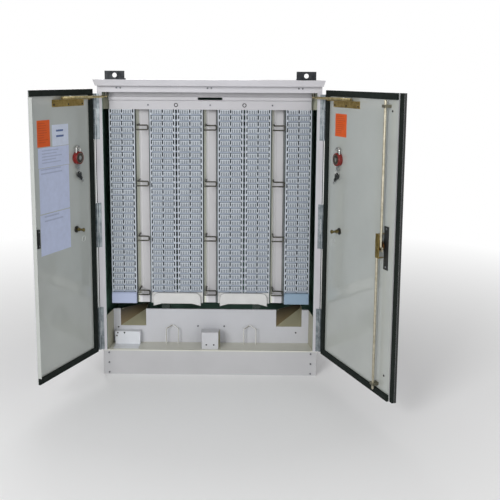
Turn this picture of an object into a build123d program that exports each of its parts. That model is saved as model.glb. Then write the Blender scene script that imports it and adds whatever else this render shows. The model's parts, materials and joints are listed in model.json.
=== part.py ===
from build123d import *
from math import atan2, cos, degrees, hypot, radians, sin
import os

# Roadside cross-connect cabinet, millimetres, +Z up, front towards -Y.
# The origin is the centre of the anchor bolt pattern under the plinth.

# Body
body_width = 1034.0
body_depth = 400.0
sheet = 2.0
plinth_inset = 4.0
plinth_height = 118.0
flange_width = 60.0
anchor_spacing_x = 900.0
anchor_spacing_y = 330.0
anchor_hole_radius = 8.0
roof_height = 1414.0
roof_skirt = 28.0
roof_flare = 9.0
roof_front_overhang = 30.0
roof_clearance = 0.5
rail_height = 29.0
rail_return = 26.0
rail_screw_share = 0.68
post_width = 22.0
post_return = 14.0
sill_lip = 3.0
cable_entry_width = 300.0
cable_entry_depth = 120.0

# Doors
door_foot_gap = 1.5
door_head_lap = 14.0
door_depth = 20.0
door_gap = 10.0
meeting_x = -92.0
meeting_gap = 2.0
lap_width = 22.0
lap_recess = 10.0
edge_fold = 16.0
edge_fold_margin = 29.0
open_angle = 112.6
gasket_width = 26.0
gasket_thickness = 9.0
gasket_inset = 10.0
lap_gasket_width = 18.0
touch_gap = 1.0
hinge_strip_past = 2.0

# Hinges
hinge_x = 527.0
hinge_length = 211.0
hinge_foot_inset = 108.5
hinge_head_inset = 126.0
hinge_middle_share = 101 / 203
knuckle_radius = 6.0
hinge_pin_radius = 3.0
knuckle_shares = [1 / 3, 2 / 3]
leaf_thickness = 2.5
leaf_width = 19.0
running_fit = 0.05
axial_gap = 0.5

# Header and connector columns
header_half = 473.0
header_front = 60.0
header_height = 81.0
header_nose_rise = 42.0
header_nose_height = 18.0
header_nose_reach = 12.0
header_slot_width = 115.0
header_slot_height = 12.0
bracket_setback = 20.0
bracket_half = 40.0
outer_column_x = 416.0
middle_column_x = 225.0
inner_column_x = 95.5
column_width = 121.0
column_depth = 50.0
channel_lip = 5.5
column_foot_gap = 51.0
module_rows = 30
module_foot_gap = 53.0
module_share = 0.95
module_width = 48.5
module_bevel = 3.0
module_stand = 3.0
module_lane_gap = 4.0
frame_bar = 20.0
frame_foot_gap = 119.0
frame_head_gap = 76.0

# Wire management
trough_mouth_half = 32.0
trough_back_half = 23.5
trough_front = 10.0
trough_foot_height = 42.0
ring_height_shares = [57 / 935, 323 / 935, 587 / 935, 852 / 935]
ring_stem_offset = 20.0
ring_width = 50.0
ring_height = 21.0
ring_wire_radius = 3.4
ring_reach = 24.0
ring_corner = 6.0
ring_tail = 8.0
cap_height = 52.0
cap_reach = 14.0
cap_chamfer = 6.0
cap_gap = 1.0
guide_reach = 20.0
guide_thickness = 3.0
guide_height = 52.0
guide_inset = 10.0
guide_shoulder = 26.0
guide_round = 4.0
guide_ear_width = 42.0
guide_ear_drop = 11.0

# Lower compartment
panel_setback = 118.0
panel_height = 170.0
panel_return = 10.0
cheek_inset = 14.0
chute_inner = 322.0
chute_outer = 448.0
chute_mouth_height = 86.0
chute_depth = 110.0
chute_rise = 62.0
terminal_box_place = 409.0
terminal_box_width = 122.0
terminal_box_height = 65.0
terminal_box_depth = 35.0
terminal_box_foot = 59.0
junction_box_width = 80.0
junction_box_height = 84.0
junction_box_depth = 56.0
junction_box_setback = 22.0
junction_box_taper = 6.0
left_hook_x = 190.0
right_hook_x = 192.0
hook_width = 60.0
hook_height = 92.0
hook_wire_radius = 2.6
hook_setback = 26.0
hook_shoulder_drop = 14.0

# Door stays
stay_pivot_x = 478.0
stay_pivot_setback = 12.0
stay_pivot_radius = 3.0
stay_hub_radius = 7.0
stay_slot_offset = 23.0
stay_slide_open = 190.0
stay_slot_length = 90.0
stay_slot_width = 9.0
stay_bracket_start = 62.0
stay_bracket_length = 225.0
stay_bracket_height = 31.0
stay_ledge_drop = 28.0
stay_ledge_reach = 38.0
stay_plate = 2.5
stay_bar_width = 10.0
stay_bar_thickness = 7.0
stay_head_height = 3.0
door_datum = 507.0

# Three-point latch on the right door
latch_inset = 76.0
latch_height = 757.0
crank_radius = 16.0
crank_pin_radius = 3.0
crank_slack = 0.6
crank_rest_angle = -45.0
cam_radius = 23.0
cam_thickness = 4.0
rod_radius = 5.5
rod_stand = 20.0
rod_head_gap = 12.0
rod_foot_gap = 21.5
keeper_slack = 2.0
eye_width = 26.0
eye_height = 18.0
eye_thickness = 5.0
spindle_radius = 6.0
guard_width = 30.0
guard_height = 178.0
guard_offset = 24.0
guard_drop = 7.0
guard_thickness = 3.0
cage_half = 13.0
cage_leg_half = 7.0
cage_height = 100.0
cage_sheet = 2.5
cage_reach = 27.0
guide_block_height = 12.0
guide_block_half = 13.0
guide_block_inset = 20.0
guide_block_reach = 8.0
handle_length = 150.0
handle_width = 22.0
handle_thickness = 10.0
handle_hub_radius = 18.0
handle_standoff = 12.0

# Things kept on the doors
padlock_slide = 126.0
padlock_drop = 230.0
padlock_radius = 29.0
padlock_thickness = 22.0
shackle_radius = 4.0
shackle_half = 14.0
shackle_rise = 22.0
hook_pin_radius = 2.5
hook_pin_reach = 17.0
key_bow_radius = 12.0
key_blade_length = 34.0
key_blade_width = 8.0
key_thickness = 2.5
key_hole_radius = 3.5
key_slack = 0.3
key_ring_radius = 9.0
key_ring_wire = 1.2
key_lean = 38.0
stud_slide = 140.0
stud_height = 745.0
stud_length = 46.0
stud_radius = 5.0
stud_disc_radius = 15.0
stud_disc_thickness = 5.0
stud_nut_radius = 9.0
stud_nut_thickness = 7.0
first_nut_place = 12.0
last_nut_place = 36.0
strike_slide = 402.0
strike_width = 14.0
strike_drop = 45.0
strike_rise = 35.0
strike_thickness = 9.0

# Roof lugs and screws
lug_x = 448.0
lug_setback = 70.0
lug_length = 92.0
lug_width = 40.0
lug_thickness = 6.0
lug_height = 40.0
lug_hole_radius = 11.0
screw_radius = 4.5
screw_head = 3.0
screw_edge_inset = 27.0
plinth_screw_shares = [0.08, 0.5, 0.92]
rail_screw_x = 418.0
header_screw_shares = [-0.615, 0.0, 0.615]
panel_screw_x = 65.0

# Places that follow from the driving dimensions
front_y = -body_depth / 2
back_y = body_depth / 2
body_half = body_width / 2
plinth_half = body_half - plinth_inset
floor_top = plinth_height + sheet
skirt_bottom = roof_height - roof_skirt
roof_under = roof_height - sheet
rail_bottom = skirt_bottom - rail_height
opening_half = body_half - post_width
door_bottom = floor_top + door_foot_gap
door_top = rail_bottom + door_head_lap
header_bottom = rail_bottom - header_height
header_nose_low = header_bottom + header_nose_rise
header_nose_high = header_nose_low + header_nose_height
panel_top = floor_top + panel_height
panel_half = opening_half - cheek_inset
chute_sill = panel_top - chute_mouth_height
column_foot = panel_top + column_foot_gap
column_height = header_bottom - column_foot
column_places = [outer_column_x, middle_column_x, inner_column_x]
column_centres = [-x for x in column_places] + column_places[::-1]
trough_x = (outer_column_x + middle_column_x) / 2
trough_centres = [-trough_x, 0, trough_x]
ring_heights = [column_foot + column_height * share for share in ring_height_shares]
frame_bar_heights = [column_foot + frame_foot_gap, header_bottom - frame_head_gap]
hinge_foot = door_bottom + hinge_foot_inset
hinge_head = door_top - hinge_head_inset
hinge_middle = hinge_foot + (hinge_head - hinge_foot) * hinge_middle_share
hinge_centres = [hinge_foot, hinge_middle, hinge_head]
hinge_spans = [
    (low + hinge_length / 2 + axial_gap, high - hinge_length / 2 - axial_gap)
    for low, high in zip(hinge_centres, hinge_centres[1:])
]
stay_ledge_top = rail_bottom - stay_ledge_drop
stay_bracket_bottom = stay_ledge_top - stay_bracket_height
padlock_height = stay_bracket_bottom - padlock_drop
rod_top = rail_bottom - rod_head_gap
rod_bottom = floor_top + rod_foot_gap
strike_low = latch_height - strike_drop
strike_high = latch_height + strike_rise
hook_centres = [-left_hook_x, right_hook_x]
stud_nut_places = [first_nut_place, last_nut_place]
door_inner = front_y - door_gap
door_outer = door_inner - sheet - door_depth
liner_outer = door_inner - sheet
pin_y = front_y - door_gap / 2
column_front = front_y + header_front
column_back = column_front + column_depth
modules_bottom = column_foot + module_foot_gap
module_pitch = (header_bottom - modules_bottom) / module_rows
module_height = module_pitch * module_share
panel_front = front_y + panel_setback
liner_edge = meeting_x + meeting_gap / 2 + lap_width
latch_x = liner_edge + latch_inset
rod_y = door_inner + rod_stand
cam_y = rod_y - rod_radius - axial_gap
rod_shift = crank_radius * (cos(radians(crank_rest_angle)) + 1) / 2
stay_pivot_y = front_y + stay_pivot_setback


def block(x0, x1, y0, y1, z0, z1):
    size = Box(abs(x1 - x0), abs(y1 - y0), abs(z1 - z0))
    return Pos((x0 + x1) / 2, (y0 + y1) / 2, (z0 + z1) / 2) * size


def rod_z(x, y, z0, z1, radius):
    return Pos(x, y, (z0 + z1) / 2) * Cylinder(radius, abs(z1 - z0))


def rod_along_y(x, y0, y1, z, radius):
    return Pos(x, (y0 + y1) / 2, z) * Rot(90, 0, 0) * Cylinder(radius, abs(y1 - y0))


def profile_x(points, x0, x1):
    outline = make_face(Polyline(*[(0, y, z) for y, z in points], close=True))
    return Pos(min(x0, x1), 0, 0) * extrude(outline, abs(x1 - x0), dir=(1, 0, 0))


def profile_y(points, y0, y1):
    outline = make_face(Polyline(*[(x, 0, z) for x, z in points], close=True))
    return Pos(0, min(y0, y1), 0) * extrude(outline, abs(y1 - y0), dir=(0, 1, 0))


def profile_z(points, z0, z1):
    outline = make_face(Polyline(*[(x, y, 0) for x, y in points], close=True))
    return Pos(0, 0, z0) * extrude(outline, z1 - z0, dir=(0, 0, 1))


def swing(shape, side):
    there = Pos(side * hinge_x, pin_y, 0)
    return there * Rot(0, 0, side * open_angle) * there.inverse() * shape


def on_door(side, slide):
    return side * (door_datum - slide)


def save(name, *shapes):
    solids = [solid for shape in shapes for solid in shape.solids()]
    whole = solids[0] if len(solids) == 1 else Compound(solids)
    export_step(whole, f"parts/{name}.step")


def plinth():
    outer = block(-plinth_half, plinth_half, front_y, back_y, 0, plinth_height)
    hollow_half = plinth_half - sheet
    hollow = block(-hollow_half, hollow_half, front_y + sheet, back_y - sheet, sheet, plinth_height - sheet)
    mouth_half = plinth_half - flange_width
    mouth = block(-mouth_half, mouth_half, front_y + flange_width, back_y - flange_width, 0, plinth_height)
    holes = [
        rod_z(i * anchor_spacing_x / 2, j * anchor_spacing_y / 2, 0, flange_width, anchor_hole_radius)
        for i in (-1, 1)
        for j in (-1, 1)
    ]
    return outer - hollow - mouth - holes


def floor_pan():
    tray = block(-body_half, body_half, front_y, back_y, plinth_height, floor_top)
    lip = block(-opening_half, opening_half, front_y, front_y + sheet, floor_top, floor_top + sill_lip)
    entry_y = back_y - flange_width - cable_entry_depth
    entry_half = cable_entry_width / 2
    entry = block(-entry_half, entry_half, entry_y, entry_y + cable_entry_depth, plinth_height, floor_top)
    keeper_radius = rod_radius + keeper_slack
    keeper = rod_z(latch_x + rod_shift, rod_y, plinth_height, floor_top, keeper_radius)
    return tray + lip - entry - keeper


def hinge_strips(side, y0, y1):
    far = hinge_x + hinge_strip_past
    return [block(side * body_half, side * far, y0, y1, low, high) for low, high in hinge_spans]


def side_panel(side):
    outside = side * body_half
    inside = side * (body_half - sheet)
    edge = side * opening_half
    wall = block(outside, inside, front_y, back_y, floor_top, roof_under)
    front = block(outside, edge, front_y, front_y + sheet, floor_top, rail_bottom)
    fold = block(edge, edge + side * sheet, front_y, front_y + post_return, floor_top, rail_bottom)
    return wall + front + fold + hinge_strips(side, front_y, front_y + sheet)


def back_panel():
    half = body_half - sheet
    return block(-half, half, back_y - sheet, back_y, floor_top, roof_under)


def top_rail():
    half = body_half - sheet
    face = block(-half, half, front_y, front_y + sheet, rail_bottom, roof_under)
    fold = block(-half, half, front_y, front_y + rail_return, rail_bottom, rail_bottom + sheet)
    keeper_radius = rod_radius + keeper_slack
    keeper = rod_z(latch_x - rod_shift, rod_y, rail_bottom, rail_bottom + sheet, keeper_radius)
    return face + fold - keeper


def flared_slab(half_x, y0, y1, z0, z1, grow):
    low = Pos(0, (y0 + y1) / 2, z0) * Rectangle(2 * half_x, y1 - y0)
    high = Pos(0, (y0 + y1) / 2, z1) * Rectangle(2 * (half_x + grow), y1 - y0 + 2 * grow)
    return loft([low.face(), high.face()])


def roof_cap():
    half = body_half + roof_clearance
    y0 = front_y - roof_front_overhang
    y1 = back_y + roof_clearance
    shell = flared_slab(half + sheet, y0 - sheet, y1 + sheet, skirt_bottom, roof_height, roof_flare)
    return shell - flared_slab(half, y0, y1, skirt_bottom, roof_under, roof_flare)


def header_panel():
    nose_y = column_front - sheet - header_nose_reach
    outline = [
        (column_front, header_bottom),
        (column_front - sheet, header_bottom),
        (column_front - sheet, header_nose_low),
        (nose_y, header_nose_low + sheet),
        (nose_y, header_nose_high - sheet),
        (nose_y + sheet, header_nose_high),
        (column_front - sheet, header_nose_high),
        (column_front - sheet, rail_bottom),
        (column_front, rail_bottom),
    ]
    strip = profile_x(outline, -header_half, header_half)
    slot_z = (header_nose_low + header_nose_high) / 2
    slot_half = header_slot_width / 2
    slot_rise = header_slot_height / 2
    slot = block(-slot_half, slot_half, nose_y, column_front, slot_z - slot_rise, slot_z + slot_rise)
    inner_half = header_half - sheet
    end_y = column_front + bracket_setback
    ends = [
        block(side * header_half, side * inner_half, column_front, end_y, header_bottom, rail_bottom)
        for side in (-1, 1)
    ]
    return strip - slot + ends


def header_bracket(side):
    y0 = column_front + bracket_setback
    wall = side * (body_half - sheet)
    plate = block(wall, side * (header_half - sheet), y0, y0 + sheet, header_bottom, rail_bottom)
    tab = block(wall, wall - side * sheet, y0, y0 + bracket_half, header_bottom, rail_bottom)
    return plate + tab


def block_frame():
    reach = outer_column_x + column_width / 2
    bars = [
        block(-reach, reach, column_back, column_back + frame_bar, z, z + frame_bar)
        for z in frame_bar_heights
    ]
    uprights = [
        block(side * middle_column_x - frame_bar, side * middle_column_x + frame_bar,
              column_back + frame_bar, column_back + 2 * frame_bar, floor_top, header_bottom)
        for side in (-1, 1)
    ]
    return bars[0] + bars[1] + uprights


def connector_channel(centre):
    half = column_width / 2
    outer = block(centre - half, centre + half, column_front, column_back, column_foot, header_bottom)
    inner = block(centre - half + sheet, centre + half - sheet, column_front + sheet, column_back - sheet,
                  column_foot, header_bottom)
    mouth_half = half - channel_lip
    mouth = block(centre - mouth_half, centre + mouth_half, column_front, column_back - sheet,
                  column_foot, header_bottom)
    return outer - inner - mouth


def connector_module(x0, z0):
    y0 = column_front - module_stand
    y1 = column_back - sheet
    top = z0 + module_height
    outline = [
        (y1, z0),
        (y0 + module_bevel, z0),
        (y0, z0 + module_bevel),
        (y0, top - module_bevel),
        (y0 + module_bevel, top),
        (y1, top),
    ]
    return profile_x(outline, x0, x0 + module_width)


def connector_modules(centre):
    first = modules_bottom + (module_pitch - module_height) / 2
    lane = (module_width + module_lane_gap) / 2
    return [
        connector_module(centre + lane_side * lane - module_width / 2, first + row * module_pitch)
        for lane_side in (-1, 1)
        for row in range(module_rows)
    ]


def wire_trough(centre):
    y0 = column_front + trough_front
    back = column_back - sheet
    outer = [
        (centre - trough_mouth_half, y0),
        (centre - trough_back_half - sheet, column_back),
        (centre + trough_back_half + sheet, column_back),
        (centre + trough_mouth_half, y0),
        (centre + trough_mouth_half - sheet, y0),
        (centre + trough_back_half, back),
        (centre - trough_back_half, back),
        (centre - trough_mouth_half + sheet, y0),
    ]
    foot = block(centre - trough_mouth_half, centre + trough_mouth_half, y0 - sheet, y0,
                 column_foot, column_foot + trough_foot_height)
    return profile_z(outer, column_foot, header_bottom) + foot


def wire_ring(centre, height):
    y_front = column_front - ring_reach
    y_back = column_back - sheet
    x0 = centre - ring_stem_offset
    x1 = x0 + ring_width
    low = height - ring_height / 2
    high = height + ring_height / 2
    points = [
        (x0, y_back, high),
        (x0, y_front, high),
        (x1, y_front, high),
        (x1, y_front, low),
        (x0 - ring_tail, y_front, low),
    ]
    path = FilletPolyline(*points, radius=ring_corner)
    start = Plane(origin=path @ 0, z_dir=path % 0)
    return sweep(start * Circle(ring_wire_radius), path=path)


def column_cap(side):
    centre = side * outer_column_x
    half = column_width / 2 - cap_gap
    y0 = column_front - cap_reach
    outline = [
        (column_front, column_foot),
        (y0, column_foot),
        (y0, column_foot + cap_height - cap_chamfer),
        (y0 + cap_chamfer, column_foot + cap_height),
        (column_front, column_foot + cap_height),
    ]
    return profile_x(outline, centre - half, centre + half)


def bend_guide(side):
    near = inner_column_x - column_width / 2 + cap_gap
    far = middle_column_x + column_width / 2 - cap_gap
    x0, x1 = sorted((side * near, side * far))
    top = column_foot + guide_height
    plate_y = column_front - guide_thickness
    y0 = column_front - guide_reach
    left = x0 + guide_inset
    right = x1 - guide_inset
    plate = block(x0, x1, plate_y, column_front, column_foot, top)
    saddle = block(left, right, y0, plate_y, column_foot, top)
    for end, inward in ((left, guide_ear_width), (right, -guide_ear_width)):
        ear = [(end, column_foot), (end + inward, column_foot), (end, column_foot - guide_ear_drop)]
        saddle += profile_y(ear, y0, plate_y)
    shoulders = saddle.edges().filter_by(Axis.Y).group_by(Axis.Z)[-1]
    saddle = fillet(shoulders, guide_shoulder)
    front = saddle.faces().sort_by(Axis.Y)[0]
    return plate + fillet(front.edges(), guide_round)


def panel_cheek(side):
    outline = [
        (side * opening_half, front_y + post_return),
        (side * panel_half, panel_front),
        (side * panel_half, panel_front + sheet),
        (side * (panel_half + sheet), panel_front + sheet),
        (side * (opening_half + sheet), front_y + post_return),
    ]
    return profile_z(outline, floor_top, panel_top)


def lower_panel():
    half = panel_half
    face = block(-half, half, panel_front, panel_front + sheet, floor_top, panel_top)
    face += [panel_cheek(-1), panel_cheek(1)]
    fold = block(-half, half, panel_front, panel_front + panel_return, panel_top - sheet, panel_top)
    fold_y = panel_front + panel_return
    mouths = [
        block(side * chute_inner, side * chute_outer, panel_front, fold_y, chute_sill, panel_top)
        for side in (-1, 1)
    ]
    return face + fold - mouths


def chute_volume(plan, drop):
    y0 = panel_front + sheet
    y_far = y0 + 2 * chute_depth
    sill = chute_sill - drop
    slope = [(y0, sill), (y_far, sill + 2 * chute_rise), (y_far, roof_height), (y0, roof_height)]
    xs = [x for x, y in plan]
    return profile_z(plan, sill, panel_top) & profile_x(slope, min(xs), max(xs))


def cable_chute(side):
    x0, x1 = sorted((side * chute_inner, side * chute_outer))
    width = x1 - x0
    y0 = panel_front + sheet
    y1 = y0 + chute_depth
    diagonal = hypot(width, chute_depth)
    outer_x0 = x0 - sheet * diagonal / chute_depth
    outer_y1 = y1 + sheet * (diagonal + chute_depth) / width
    outer = [(outer_x0, y0), (x1 + sheet, y0), (x1 + sheet, outer_y1)]
    body = chute_volume(outer, sheet) - chute_volume([(x0, y0), (x1, y0), (x1, y1)], 0)
    fold = block(x0 - 2 * sheet, x1 + 2 * sheet, y0, y0 + panel_return, panel_top - 2 * sheet, panel_top)
    return body - fold


def terminal_box():
    x0 = -terminal_box_place - terminal_box_width / 2
    x1 = x0 + terminal_box_width
    y1 = panel_front
    y0 = y1 - terminal_box_depth
    top = floor_top + terminal_box_height
    case = block(x0, x1, y0, y1, floor_top, top)
    foot = block(x0, x1, y0 - terminal_box_foot, y0, floor_top, floor_top + sheet)
    seam_y = (y0 + y1) / 2
    seam = block(x0, x1, seam_y, seam_y + sheet, top - sheet, top)
    return case + foot - seam


def junction_box():
    half = junction_box_width / 2
    y0 = front_y + junction_box_setback
    y1 = y0 + junction_box_depth
    outline = [(-half, y0), (half, y0), (half + junction_box_taper, y1), (-half - junction_box_taper, y1)]
    return profile_z(outline, floor_top, floor_top + junction_box_height)


def wire_hook(centre):
    y = panel_front - hook_setback
    x0 = centre - hook_width / 2
    x1 = centre + hook_width / 2
    top = floor_top + hook_height
    shoulder = top - hook_shoulder_drop
    points = [(x0, y, floor_top), (x0, y, shoulder), (centre, panel_front - 2 * hook_wire_radius, top),
              (x1, y, shoulder), (x1, y, floor_top)]
    path = FilletPolyline(*points, radius=hook_shoulder_drop / 2)
    start = Plane(origin=path @ 0, z_dir=path % 0)
    return sweep(start * Circle(hook_wire_radius), path=path)


def lifting_lug(side):
    y0 = front_y + lug_setback
    x0 = side * (lug_x - lug_length / 2)
    x1 = side * (lug_x + lug_length / 2)
    top = roof_height + lug_height
    foot = block(x0, x1, y0, y0 + lug_width, roof_height, roof_height + lug_thickness)
    tab = block(x0, x1, y0, y0 + lug_thickness, roof_height, top)
    hole = rod_along_y(side * lug_x, y0, y0 + lug_thickness, top - lug_height / 2, lug_hole_radius)
    return foot + tab - hole


def knuckle(x, z0, z1):
    return rod_z(x, pin_y, z0, z1, knuckle_radius)


def knuckle_bore(x, z0, z1):
    return rod_z(x, pin_y, z0, z1, hinge_pin_radius + running_fit)


def hinge_leaf(side, plate_y0, plate_y1, centre, spans):
    x = side * hinge_x
    low = centre - hinge_length / 2
    leaf = block(x - side * leaf_width, x, plate_y0, plate_y1, low, low + hinge_length)
    for start, end in spans:
        leaf += knuckle(x, low + start * hinge_length, low + end * hinge_length)
    gaps = [end for start, end in spans] + [start for start, end in spans]
    for share in gaps:
        if 0 < share < 1:
            z = low + share * hinge_length
            leaf -= rod_z(x, pin_y, z - axial_gap, z + axial_gap, knuckle_radius + leaf_thickness)
    return leaf - knuckle_bore(x, low, low + hinge_length)


def frame_leaf(side, centre):
    first, last = knuckle_shares
    leaf = hinge_leaf(side, front_y - leaf_thickness, front_y, centre, [(0, first), (last, 1)])
    low = centre - hinge_length / 2
    near = hinge_x - knuckle_radius - axial_gap
    far = hinge_x + knuckle_radius
    span_low = low + first * hinge_length
    span_high = low + last * hinge_length
    return leaf - block(side * near, side * far, door_inner, front_y, span_low, span_high)


def door_leaf(side, centre):
    first, last = knuckle_shares
    leaf = hinge_leaf(side, door_inner, door_inner + leaf_thickness, centre, [(first, last)])
    low = centre - hinge_length / 2
    near = hinge_x - knuckle_radius - axial_gap
    far = hinge_x + knuckle_radius
    for start, end in ((0, first), (last, 1)):
        leaf -= block(side * near, side * far, door_inner - leaf_thickness, front_y,
                      low + start * hinge_length, low + end * hinge_length)
    return leaf


def hinge_pin(side, centre):
    reach = hinge_length / 2
    return rod_z(side * hinge_x, pin_y, centre - reach, centre + reach, hinge_pin_radius)


def left_door_pan():
    end = meeting_x - meeting_gap / 2
    outer = block(-body_half, end, door_outer, liner_outer, door_bottom, door_top)
    inner = block(-body_half + sheet, end - sheet, door_outer + sheet, liner_outer,
                  door_bottom + sheet, door_top - sheet)
    return outer - inner


def left_door_liner():
    end = meeting_x - meeting_gap / 2 + lap_width
    face = block(-body_half, end, liner_outer, door_inner, door_bottom, door_top)
    fold = block(end - sheet, end, door_inner, door_inner + edge_fold,
                 door_bottom + edge_fold_margin, door_top - edge_fold_margin)
    return face + fold + padlock_hook(-1) + hinge_strips(-1, liner_outer, door_inner)


def right_door_pan():
    start = meeting_x + meeting_gap / 2
    step = start + lap_width
    outer = block(start, body_half, door_outer, liner_outer, door_bottom, door_top)
    outer -= block(start, step, liner_outer - lap_recess, liner_outer, door_bottom, door_top)
    low = door_bottom + sheet
    high = door_top - sheet
    deep = block(step + sheet, body_half - sheet, door_outer + sheet, liner_outer, low, high)
    shallow_y = liner_outer - lap_recess - sheet
    shallow = block(start + sheet, step + sheet, door_outer + sheet, shallow_y, low, high)
    bore = rod_along_y(latch_x, door_outer, liner_outer, latch_height, spindle_radius + running_fit)
    return outer - deep - shallow - bore


def right_door_liner():
    face = block(liner_edge, body_half, liner_outer, door_inner, door_bottom, door_top)
    bore = rod_along_y(latch_x, liner_outer, door_inner, latch_height, spindle_radius + running_fit)
    return face - bore + padlock_hook(1) + hinge_strips(1, liner_outer, door_inner)


def gasket_strips(side, end):
    y0 = door_inner
    y1 = door_inner + gasket_thickness
    outer_x = side * (body_half - gasket_inset)
    inner_x = outer_x - side * gasket_width
    stile = block(outer_x, inner_x, y0, y1, door_bottom, door_top)
    head = block(outer_x, end, y0, y1, door_top - gasket_width, door_top)
    foot = block(outer_x, end, y0, y1, door_bottom, door_bottom + gasket_width)
    return stile + head + foot


def left_gasket():
    return gasket_strips(-1, meeting_x - meeting_gap / 2 + lap_width)


def right_gasket():
    start = meeting_x + meeting_gap / 2
    ring = gasket_strips(1, start + lap_width + touch_gap)
    y0 = liner_outer - lap_recess
    lap = block(start + touch_gap, start + touch_gap + lap_gasket_width, y0, liner_outer - touch_gap,
                door_bottom, door_top)
    return [ring, lap]


def stay_bracket(side):
    x0 = on_door(side, stay_bracket_start)
    x1 = on_door(side, stay_bracket_start + stay_bracket_length)
    plate = block(x0, x1, door_inner, door_inner + stay_plate, stay_bracket_bottom, stay_ledge_top)
    ledge_low = stay_ledge_top - stay_plate
    ledge = block(x0, x1, door_inner, door_inner + stay_ledge_reach, ledge_low, stay_ledge_top)
    y = door_inner + stay_slot_offset
    s0 = on_door(side, stay_slide_open - stay_slot_width)
    s1 = on_door(side, stay_slide_open + stay_slot_length)
    slot_reach = stay_slot_width / 2
    slot = block(s0, s1, y - slot_reach, y + slot_reach, ledge_low, stay_ledge_top)
    return plate + ledge - slot


def stay_end(side):
    dx = on_door(side, stay_slide_open) - side * hinge_x
    dy = door_inner + stay_slot_offset - pin_y
    turn = radians(side * open_angle)
    x = side * hinge_x + dx * cos(turn) - dy * sin(turn)
    y = pin_y + dx * sin(turn) + dy * cos(turn)
    return x, y


def stay_bar_bottom():
    return stay_ledge_top + touch_gap + stay_plate + axial_gap


def stay_pivot(side):
    x = side * stay_pivot_x
    low = stay_bar_bottom()
    high = low + stay_bar_thickness + axial_gap
    hub = rod_z(x, stay_pivot_y, high, rail_bottom, stay_hub_radius)
    pin = rod_z(x, stay_pivot_y, low - axial_gap, high, stay_pivot_radius)
    washer = rod_z(x, stay_pivot_y, low - axial_gap - stay_plate, low - axial_gap, stay_hub_radius)
    return hub + pin + washer


def stay_arm(side):
    x0 = side * stay_pivot_x
    x1, y1 = stay_end(side)
    dx = x1 - x0
    dy = y1 - stay_pivot_y
    length = hypot(dx, dy)
    low = stay_bar_bottom()
    z = low + stay_bar_thickness / 2
    bar = Pos(length / 2, 0, 0) * Box(length, stay_bar_width, stay_bar_thickness)
    ends = [Pos(place, 0, 0) * Cylinder(stay_bar_width / 2, stay_bar_thickness) for place in (0, length)]
    arm = Pos(x0, stay_pivot_y, z) * Rot(0, 0, degrees(atan2(dy, dx))) * (bar + ends)
    head_z = low + stay_bar_thickness
    arm += rod_z(x1, y1, head_z, head_z + stay_head_height, stay_bar_width / 2)
    arm += rod_z(x1, y1, stay_ledge_top + touch_gap, low, stay_slot_width / 2 - touch_gap)
    return arm - rod_z(x0, stay_pivot_y, low, head_z, stay_pivot_radius + running_fit)


def crank_pin_place(sign):
    turn = radians(crank_rest_angle)
    return latch_x - sign * crank_radius * cos(turn), latch_height + sign * crank_radius * sin(turn)


def latch_cam():
    cam = rod_along_y(latch_x, cam_y - cam_thickness, cam_y, latch_height, cam_radius)
    for sign in (-1, 1):
        x, z = crank_pin_place(sign)
        cam += rod_along_y(x, cam_y, rod_y + eye_thickness / 2 + axial_gap, z, crank_pin_radius)
    return cam


def latch_spindle():
    y0 = door_outer - handle_standoff
    return rod_along_y(latch_x, y0, cam_y - cam_thickness, latch_height, spindle_radius)


def latch_handle():
    y1 = door_outer - handle_standoff
    y0 = y1 - handle_thickness
    hub = rod_along_y(latch_x, y0, door_outer - axial_gap, latch_height, handle_hub_radius)
    lever = block(latch_x, latch_x + handle_length, y0, y1,
                  latch_height - handle_width / 2, latch_height + handle_width / 2)
    tip = rod_along_y(latch_x + handle_length, y0, y1, latch_height, handle_width / 2)
    return hub + lever + tip


def latch_rod(sign, tip_z):
    x = latch_x - sign * rod_shift
    pin_x, pin_z = crank_pin_place(sign)
    eye = Pos(x, rod_y, pin_z) * Box(eye_width, eye_thickness, eye_height)
    slot_length = crank_radius - abs(pin_x - latch_x) + 2 * (crank_pin_radius + crank_slack)
    slot_height = 2 * (crank_pin_radius + crank_slack)
    slot = Pos(x, rod_y, pin_z) * Box(slot_length, eye_thickness, slot_height)
    start = pin_z + sign * eye_height / 2
    stem = rod_z(x, rod_y, start, tip_z - sign * rod_radius, rod_radius)
    return eye - slot + stem + Pos(x, rod_y, tip_z - sign * rod_radius) * Sphere(rod_radius)


def latch_guard():
    centre = latch_x - guard_offset
    half = guard_width / 2
    middle = latch_height - guard_drop
    reach = guard_height / 2
    return block(centre - half, centre + half, door_inner, door_inner + guard_thickness,
                 middle - reach, middle + reach)


def latch_cage():
    y1 = door_inner + cage_reach
    low = latch_height - cage_height / 2
    high = latch_height + cage_height / 2
    cage = block(latch_x - cage_half, latch_x + cage_half, y1, y1 + cage_sheet, low, high)
    for start, end in ((low, low + cage_sheet), (high - cage_sheet, high)):
        cage += block(latch_x - cage_leg_half, latch_x + cage_leg_half, door_inner, y1, start, end)
    return cage


def rod_guide(sign, tip_z):
    x = latch_x - sign * rod_shift
    z0 = tip_z - sign * guide_block_inset
    z1 = z0 - sign * guide_block_height
    base = block(x - guide_block_half, x + guide_block_half, door_inner, rod_y + guide_block_reach, z0, z1)
    return base - rod_z(x, rod_y, z0, z1, rod_radius + running_fit)


def padlock_body(side):
    x = on_door(side, padlock_slide)
    disc = rod_along_y(x, door_inner, door_inner + padlock_thickness, padlock_height, padlock_radius)
    y = door_inner + padlock_thickness / 2
    half_width = key_blade_width / 2 + key_slack
    half_depth = key_thickness / 2 + key_slack
    low = padlock_height - padlock_radius
    return disc - block(x - half_width, x + half_width, y - half_depth, y + half_depth,
                        low, low + key_blade_length + key_slack)


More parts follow.
